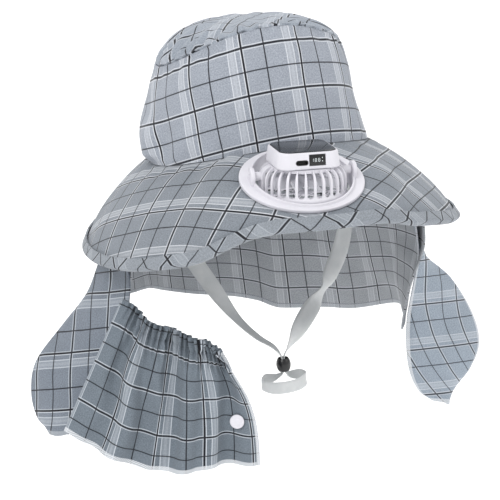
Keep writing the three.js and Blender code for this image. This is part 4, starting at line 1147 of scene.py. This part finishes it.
def makeDisplay():
    wide, high, thick = display["width"], display["height"], display["thickness"]
    obj = block("display_shell", (wide, thick, high), (0, thick / 2, 0))
    bevelAll(obj, 0.15, 2)
    obj.data.materials.append(blackPlastic)
    bars = []
    halfWide, halfHigh, line, raised = digit["halfWide"], digit["halfHigh"], digit["line"], digit["raised"]
    spots = {  # x, z and whether it lies level
        "a": (0, halfHigh, 1), "g": (0, 0, 1), "d": (0, -halfHigh, 1),
        "f": (-halfWide, halfHigh / 2, 0), "b": (halfWide, halfHigh / 2, 0),
        "e": (-halfWide, -halfHigh / 2, 0), "c": (halfWide, -halfHigh / 2, 0),
    }
    level = (2 * halfWide - line * 1.3, raised, line)
    upright = (line, raised, halfHigh - line * 1.3)
    for place, number in zip((-3.6, -1.2, 1.2), "188"):
        for key in digitBars[number]:
            x, z, isLevel = spots[key]
            bars.append(block("bar", level if isLevel else upright, (place + x, -0.03, z)))
    for x, z in ((3.6, 1.5), (3.6, -0.9)):
        bars.append(block("dot", (digit["dot"], raised, digit["dot"]), (x, -0.03, z)))
    lit = joined("lit", bars)
    lit.data.materials.append(litPlastic)
    obj = joined("display_shell", [obj, lit])
    obj.data.materials[1] = litPlastic
    onFace(obj, display["across"], display["lift"])
    return hand(placed(obj, headFrame), "display_window", "fan_head")


def makePort():
    obj = stadium("port_shell", port["height"], port["width"], port["depth"])
    mouth = stadium("mouth", port["height"] - 0.9, port["width"] - 0.9, port["depth"])
    mouth.location = (0, -mm, 0)
    choose(mouth)
    bpy.ops.object.transform_apply(location=True)
    cutWith(obj, mouth)
    tongue = block("tongue", (0.7, port["depth"] - 1.2, port["width"] * 0.62),
                   (0, port["depth"] / 2 + 0.5, 0))
    bevelAll(tongue, 0.15, 2)
    cutWith(obj, tongue, "UNION")
    obj.rotation_euler = (0, math.pi / 2, 0)
    choose(obj)
    bpy.ops.object.transform_apply(rotation=True)
    onFace(obj, port["across"], port["lift"])
    return hand(placed(obj, headFrame), "usb_port", "fan_head")


# Bead on the chin strap and snap button on the veil

bead = {"radius": 5.9, "halfHeight": 5.4, "hole": 3.9, "place": (-8.99, -51, -173.5), "bands": 16,
        "roundness": 0.72}


def makeBead():
    rings = [(bead["hole"], -bead["halfHeight"] + 0.4), (bead["hole"] + 0.3, -bead["halfHeight"])]
    for n in range(1, bead["bands"]):
        rise = -1 + 2 * n / bead["bands"]
        swell = math.sqrt(1 - (rise * bead["roundness"]) ** 2)
        rings.append((bead["radius"] * swell, rise * bead["halfHeight"]))
    rings += [(bead["hole"] + 0.3, bead["halfHeight"]), (bead["hole"], bead["halfHeight"] - 0.4),
              (bead["hole"], -bead["halfHeight"] + 0.4)]
    obj = turnedPiece("bead_shell", [(r, r, z) for r, z in rings], 48)
    return hand(placed(obj, Matrix.Translation(bead["place"]), 45), "strap_bead", "hat")


def makeSnap():
    step = 0.01
    at = veilPoint(snap["across"], snap["up"])
    du = veilPoint(snap["across"] + step, snap["up"]) - veilPoint(snap["across"] - step, snap["up"])
    dv = veilPoint(snap["across"], snap["up"] + step) - veilPoint(snap["across"], snap["up"] - step)
    out = du.cross(dv).normalized()
    wide, cap = snap["radius"], snap["cap"]
    rings = [(0.001, 0), (wide - 0.2, 0), (wide, 0.3), (wide, 0.9), (wide - 0.4, 1.35), (wide - 1.1, cap),
             (wide - 1.8, cap), (wide - 2.4, cap - 0.35), (wide - 3.1, cap - 0.45), (wide - 3.8, cap - 0.3),
             (0.001, cap - 0.15)]
    obj = turnedPiece("snap_shell", [(r, r, z) for r, z in rings], 64)
    turn = Vector((0, 0, 1)).rotation_difference(out).to_matrix().to_4x4()
    seat = Matrix.Translation(at + out * (2 * head["sewnGap"] + snap["proud"])) @ turn
    return hand(placed(obj, seat), "snap_button", "hat")


# Materials

def newTree(name):
    material = bpy.data.materials.new(name)
    material.use_nodes = True
    tree = material.node_tree
    return material, tree, tree.nodes["Principled BSDF"]


def node(tree, kind, values=None, **settings):
    made = tree.nodes.new("ShaderNode" + kind)
    for key, value in settings.items():
        setattr(made, key, value)
    for key, value in (values or {}).items():
        if isinstance(value, bpy.types.NodeSocket):
            tree.links.new(value, made.inputs[key])
        else:
            made.inputs[key].default_value = value
    return made


def math2(tree, operation, a, b=0.0):
    return node(tree, "Math", {0: a, 1: b}, operation=operation).outputs[0]


def mixColour(tree, share, a, b):
    return node(tree, "Mix", {"Factor": share, "A": a, "B": b}, data_type="RGBA").outputs["Result"]


def grain(tree, place, scale, detail=2.0):
    return node(tree, "TexNoise", {"Vector": place, "Scale": scale, "Detail": detail}).outputs["Fac"]


def newGroup(name, inputs, outputs):
    group = bpy.data.node_groups.new(name, "ShaderNodeTree")
    for label, kind, value in inputs:
        socket = group.interface.new_socket(label, in_out="INPUT", socket_type="NodeSocket" + kind)
        if value is not None:
            socket.default_value = value
    for label, kind in outputs:
        group.interface.new_socket(label, in_out="OUTPUT", socket_type="NodeSocket" + kind)
    return group, group.nodes.new("NodeGroupInput"), group.nodes.new("NodeGroupOutput")


def useGroup(tree, group, values):
    made = tree.nodes.new("ShaderNodeGroup")
    made.node_tree = group
    for key, value in values.items():
        if isinstance(value, bpy.types.NodeSocket):
            tree.links.new(value, made.inputs[key])
        else:
            made.inputs[key].default_value = value
    return made


def stripeGroup():
    group, given, result = newGroup(
        "check_line",
        (("Place", "Float", 0), ("Period", "Float", 45), ("Middle", "Float", 0), ("Half width", "Float", 1)),
        (("Mask", "Float"),),
    )
    away = math2(group, "SUBTRACT", given.outputs["Place"], given.outputs["Middle"])
    half = math2(group, "MULTIPLY", given.outputs["Period"], 0.5)
    away = math2(group, "PINGPONG", away, half)
    low = math2(group, "SUBTRACT", given.outputs["Half width"], 0.18)
    high = math2(group, "ADD", given.outputs["Half width"], 0.18)
    ramp = node(group, "MapRange",
                {"Value": away, "From Min": low, "From Max": high, "To Min": 1.0, "To Max": 0.0},
                interpolation_type="SMOOTHSTEP")
    group.links.new(ramp.outputs["Result"], result.inputs["Mask"])
    return group


checkLine = stripeGroup()

plaid = {
    "warpPeriod": 45.7, "weftPeriod": 35.0,
    "warpThin": 0.378, "warpWhite": 0.816, "weftThin": 0.5,
    "boldHalf": 0.78, "thinHalf": 0.52, "whiteHalf": 0.36, "thread": 0.62,
}


def plaidGroup():  # the checked cloth, from its flat coordinates in millimetres
    group, given, result = newGroup(
        "plaid_weave",
        (("Cloth", "Vector", None), ("Ground", "Color", (0.3, 0.34, 0.39, 1)),
         ("White", "Color", (0.78, 0.8, 0.84, 1)), ("Black", "Color", (0.012, 0.012, 0.016, 1)),
         ("Strength", "Float", 1.0)),
        (("Color", "Color"), ("Height", "Float"), ("Roughness", "Float")),
    )
    split = node(group, "SeparateXYZ", {0: given.outputs["Cloth"]})
    x = math2(group, "MULTIPLY", split.outputs["X"], 1000.0)
    y = math2(group, "MULTIPLY", split.outputs["Y"], 1000.0)

    def line(place, period, middle, half):
        return useGroup(group, checkLine, {"Place": place, "Period": period, "Middle": middle,
                                           "Half width": half}).outputs["Mask"]

    warp, weft = plaid["warpPeriod"], plaid["weftPeriod"]
    bold, thin = plaid["boldHalf"], plaid["thinHalf"]
    pale, edge = plaid["whiteHalf"], plaid["whiteHalf"] + bold
    band = warp * plaid["warpWhite"]
    whites = [  # a fine white thread beside each bold line, and the double white band
        (line(x, warp, -edge, pale), 0.7), (line(x, warp, edge, pale), 0.45),
        (line(x, warp, band, 3.2), 0.16), (line(x, warp, band, 1.1), 0.25),
        (line(x, warp, band - 3.0, pale), 0.6), (line(x, warp, band + 3.0, pale), 0.6),
        (line(y, weft, -edge - 0.2, pale), 0.5), (line(y, weft, edge + 0.2, pale), 0.55),
    ]
    blacks = [
        (line(x, warp, 0, bold), 1.0), (line(x, warp, warp * plaid["warpThin"], thin), 0.95),
        (line(y, weft, 0, bold), 0.95), (line(y, weft, weft * plaid["weftThin"], thin), 0.9),
    ]

    def strongest(rows):
        total = 0.0
        for mask, share in rows:
            total = math2(group, "MAXIMUM", math2(group, "MULTIPLY", mask, share), total)
        return total

    thread = math.pi / plaid["thread"]
    over = math2(group, "MULTIPLY", math2(group, "SINE", math2(group, "MULTIPLY", x, thread)),
                 math2(group, "SINE", math2(group, "MULTIPLY", y, thread)))
    slub = grain(group, given.outputs["Cloth"], 900.0, 2.0)
    cloud = grain(group, given.outputs["Cloth"], 55.0, 3.0)
    tone = math2(group, "ADD", math2(group, "MULTIPLY", over, 0.1),
                 math2(group, "ADD", slub, math2(group, "MULTIPLY", cloud, 0.2)))
    tone = math2(group, "ADD", tone, 0.4)
    ground = node(group, "Mix", {"Factor": 1.0, "A": given.outputs["Ground"], "B": tone},
                  data_type="RGBA", blend_type="MULTIPLY").outputs["Result"]
    worn = math2(group, "ADD", math2(group, "MULTIPLY", slub, 0.3), 0.85)
    worn = math2(group, "MULTIPLY", worn, given.outputs["Strength"])
    white = node(group, "Clamp", {"Value": math2(group, "MULTIPLY", strongest(whites), worn)}).outputs[0]
    black = node(group, "Clamp", {"Value": math2(group, "MULTIPLY", strongest(blacks), worn)}).outputs[0]
    colour = mixColour(group, white, ground, given.outputs["White"])
    colour = mixColour(group, black, colour, given.outputs["Black"])
    group.links.new(colour, result.inputs["Color"])
    height = math2(group, "ADD", math2(group, "MULTIPLY", over, 0.5), math2(group, "MULTIPLY", slub, 0.8))
    group.links.new(height, result.inputs["Height"])
    rough = math2(group, "ADD", math2(group, "MULTIPLY", slub, 0.2), 0.72)
    group.links.new(rough, result.inputs["Roughness"])
    return group


plaidWeave = plaidGroup()


def clothMaterial(name, ground=(0.27, 0.3, 0.335, 1), turn=0.0, strength=1.0, hem=None,
                  white=(0.78, 0.8, 0.84, 1)):
    material, tree, shader = newTree(name)
    uv = node(tree, "UVMap", uv_map="cloth").outputs["UV"]
    cloth = node(tree, "Mapping", {"Vector": uv, "Rotation": (0, 0, math.radians(turn))}).outputs["Vector"]
    weave = useGroup(tree, plaidWeave, {"Cloth": cloth, "Ground": ground, "Strength": strength,
                                        "White": white})
    colour, height = weave.outputs["Color"], weave.outputs["Height"]
    if hem:
        edge = node(tree, "SeparateXYZ", {0: node(tree, "UVMap", uv_map="edges").outputs["UV"]})
        near = edge.outputs["Y"]
        if hem["sides"] == "both":
            near = math2(tree, "MINIMUM", edge.outputs["X"], near)
        mask = node(tree, "MapRange",
                    {"Value": near, "From Min": (hem["width"] - 0.4) * mm, "From Max": hem["width"] * mm,
                     "To Min": 1.0, "To Max": 0.0}).outputs["Result"]
        along = math2(tree, "ADD", edge.outputs["X"], edge.outputs["Y"])
        loops = math2(tree, "SINE", math2(tree, "MULTIPLY", along, 2 * math.pi / (1.7 * mm)))
        thread = node(tree, "MapRange", {"Value": loops, "From Min": -0.5, "From Max": 0.4,
                                         "To Min": 0.45, "To Max": 1.0}).outputs["Result"]
        stitched = math2(tree, "MULTIPLY", mask, math2(tree, "MULTIPLY", thread, hem["share"]))
        colour = mixColour(tree, stitched, colour, hem["colour"])
        raised = math2(tree, "MULTIPLY", mask, math2(tree, "MULTIPLY", loops, 1.2))
        height = math2(tree, "ADD", height, raised)
    bump = node(tree, "Bump", {"Strength": 0.35, "Distance": 0.00025, "Height": height})
    tree.links.new(colour, shader.inputs["Base Color"])
    tree.links.new(weave.outputs["Roughness"], shader.inputs["Roughness"])
    tree.links.new(bump.outputs["Normal"], shader.inputs["Normal"])
    shader.inputs["Sheen Weight"].default_value = 0.12
    shader.inputs["Specular IOR Level"].default_value = 0.25
    return material


whiteHem = {"sides": "both", "width": 3.6, "colour": (0.75, 0.77, 0.8, 1), "share": 0.85}
paleHem = {"sides": "hem", "width": 4.0, "colour": (0.5, 0.53, 0.57, 1), "share": 0.7}
# Every piece is the same check cloth. The ground and white colours set piece by piece below are painted
# light and shade: the one cloth is lightened, darkened or greyed for how each piece is lit, such as the
# darker brim, left cheek flap and veil and the greyer neck flap in shade.
clothLooks = (
    (crownCloth, clothMaterial("crown_plaid", ground=(0.3, 0.325, 0.37, 1))),
    (crownTipCloth, clothMaterial("tip_plaid", ground=(0.28, 0.31, 0.355, 1), white=(0.6, 0.62, 0.66, 1))),
    (brimCloth, clothMaterial("brim_plaid", ground=(0.205, 0.227, 0.256, 1))),
    (bindingCloth, clothMaterial("binding_plaid", turn=45, ground=(0.24, 0.262, 0.29, 1),
                                 white=(0.42, 0.45, 0.49, 1))),
    (neckCloth, clothMaterial("neck_plaid", ground=(0.345, 0.362, 0.385, 1), strength=0.85, hem=paleHem)),
    (leftCloth, clothMaterial("left_flap_plaid", ground=(0.18, 0.206, 0.244, 1), hem=paleHem,
                              white=(0.66, 0.7, 0.75, 1))),
    (rightCloth, clothMaterial("right_flap_plaid", ground=(0.3, 0.347, 0.405, 1), strength=0.85,
                               hem=whiteHem)),
    (veilCloth, clothMaterial("veil_plaid", ground=(0.15, 0.178, 0.208, 1), hem=whiteHem,
                              white=(0.72, 0.76, 0.82, 1))),
)
for piece, material in clothLooks:
    piece.data.materials.clear()
    piece.data.materials.append(material)


def plasticMaterial(name, colour, roughness, coat=0.0, texture=0.25):
    material, tree, shader = newTree(name)
    place = node(tree, "TexCoord").outputs["Object"]
    speck = grain(tree, place, 1400.0)
    cloud = grain(tree, place, 60.0, 3.0)
    darker = tuple(c * 0.9 for c in colour[:3]) + (1,)
    tree.links.new(mixColour(tree, cloud, colour, darker), shader.inputs["Base Color"])
    rough = node(tree, "MapRange", {"Value": cloud, "To Min": roughness - 0.06, "To Max": roughness + 0.1})
    tree.links.new(rough.outputs["Result"], shader.inputs["Roughness"])
    bump = node(tree, "Bump", {"Strength": texture, "Distance": 0.0001, "Height": speck})
    tree.links.new(bump.outputs["Normal"], shader.inputs["Normal"])
    shader.inputs["Coat Weight"].default_value = coat
    return material


def webbingMaterial():
    material, tree, shader = newTree("pale_webbing")
    uv = node(tree, "SeparateXYZ", {0: node(tree, "UVMap", uv_map="cloth").outputs["UV"]})
    across = math2(tree, "SINE", math2(tree, "MULTIPLY", uv.outputs["X"], 2 * math.pi / (0.8 * mm)))
    along = math2(tree, "SINE", math2(tree, "MULTIPLY", uv.outputs["Y"], 2 * math.pi / (strap["rib"] * mm)))
    ribs = math2(tree, "ADD", along, math2(tree, "MULTIPLY", across, 0.4))
    cloud = grain(tree, node(tree, "TexCoord").outputs["Object"], 90.0)
    shade = math2(tree, "ADD", math2(tree, "MULTIPLY", ribs, 0.12), cloud)
    colour = mixColour(tree, shade, (0.53, 0.555, 0.565, 1), (0.72, 0.73, 0.73, 1))
    tree.links.new(colour, shader.inputs["Base Color"])
    bump = node(tree, "Bump", {"Strength": 0.5, "Distance": 0.0002, "Height": ribs})
    tree.links.new(bump.outputs["Normal"], shader.inputs["Normal"])
    shader.inputs["Roughness"].default_value = 0.7
    shader.inputs["Sheen Weight"].default_value = 0.2
    return material


chinBand.data.materials.clear()
chinBand.data.materials.append(webbingMaterial())

whitePlastic = plasticMaterial("white_plastic_finish", (0.7, 0.69, 0.74, 1), 0.36)
greyPlastic = plasticMaterial("grey_plastic_finish", (0.62, 0.62, 0.66, 1), 0.42)
blackPlastic = plasticMaterial("black_plastic_finish", (0.006, 0.006, 0.007, 1), 0.32, coat=0.1)
darkGlass = plasticMaterial("solar_glass_finish", (0.012, 0.014, 0.018, 1), 0.12, texture=0.02)
litPlastic = bpy.data.materials.new("lit_segments")
litPlastic.use_nodes = True
litShader = litPlastic.node_tree.nodes["Principled BSDF"]
litShader.inputs["Base Color"].default_value = (0.75, 0.8, 0.82, 1)
litShader.inputs["Emission Color"].default_value = (0.8, 0.9, 0.92, 1)
litShader.inputs["Emission Strength"].default_value = 0.2

hardPieces = (
    (makeBracket(), whitePlastic), (makeLockRing(), whitePlastic), (makeCage(), whitePlastic),
    (makeGrille(), whitePlastic), (makeBox(), whitePlastic), (makeImpeller(), greyPlastic),
    (makePanel(), darkGlass), (makePort(), blackPlastic), (makeBead(), blackPlastic),
    (makeSnap(), whitePlastic),
)
for piece, material in hardPieces:
    piece.data.materials.clear()
    piece.data.materials.append(material)
makeDisplay()
print("materials made")


# Floor and light

def makeStage():
    deselectAll()
    bpy.ops.mesh.primitive_plane_add(size=30, location=(0, -11.5, -0.42))
    floor = bpy.context.object
    floor.name = "floor"
    bpy.ops.object.transform_apply(location=True)
    editAll(floor)
    bpy.ops.mesh.select_mode(type="EDGE")
    bpy.ops.mesh.select_all(action="DESELECT")
    leaveEdit()
    for edge in floor.data.edges:
        edge.select = all(floor.data.vertices[i].co.y > 3 for i in edge.vertices)
    bpy.ops.object.mode_set(mode="EDIT")
    bpy.ops.mesh.extrude_edges_move(TRANSFORM_OT_translate={"value": (0, 0, 7)})
    bpy.ops.mesh.select_mode(type="VERT")
    leaveEdit()
    applyModifier(floor, "BEVEL", width=2.4, segments=24, limit_method="ANGLE", angle_limit=math.radians(40))
    smoothByAngle(floor, 60)
    material, tree, shader = newTree("floor_paint")
    cloud = grain(tree, node(tree, "TexCoord").outputs["Object"], 3.0)
    colour = mixColour(tree, cloud, (0.93, 0.93, 0.93, 1), (0.96, 0.96, 0.96, 1))
    tree.links.new(colour, shader.inputs["Base Color"])
    shader.inputs["Roughness"].default_value = 0.9
    shader.inputs["Emission Color"].default_value = (1, 1, 1, 1)
    shader.inputs["Emission Strength"].default_value = 0.25
    floor.data.materials.append(material)
    world = bpy.data.worlds.new("studio")
    world.use_nodes = True
    world.node_tree.nodes["Background"].inputs["Color"].default_value = (1, 1, 1, 1)
    world.node_tree.nodes["Background"].inputs["Strength"].default_value = 0.7
    bpy.context.scene.world = world
    lamps = (  # place, size, power
        ((-1.1, -1.3, 1.5), 1.0, 24), ((1.3, -0.9, 0.9), 1.4, 8), ((0.2, 1.2, 1.4), 1.2, 10),
    )
    for place, size, power in lamps:
        data = bpy.data.lights.new("softbox", "AREA")
        data.energy = power
        data.size = size
        lamp = bpy.data.objects.new("softbox", data)
        bpy.context.collection.objects.link(lamp)
        lamp.location = place
        lamp.rotation_euler = (-Vector(place)).to_track_quat("-Z", "Y").to_euler()


makeStage()
bpy.context.scene.view_settings.view_transform = "Standard"
print("stage made")
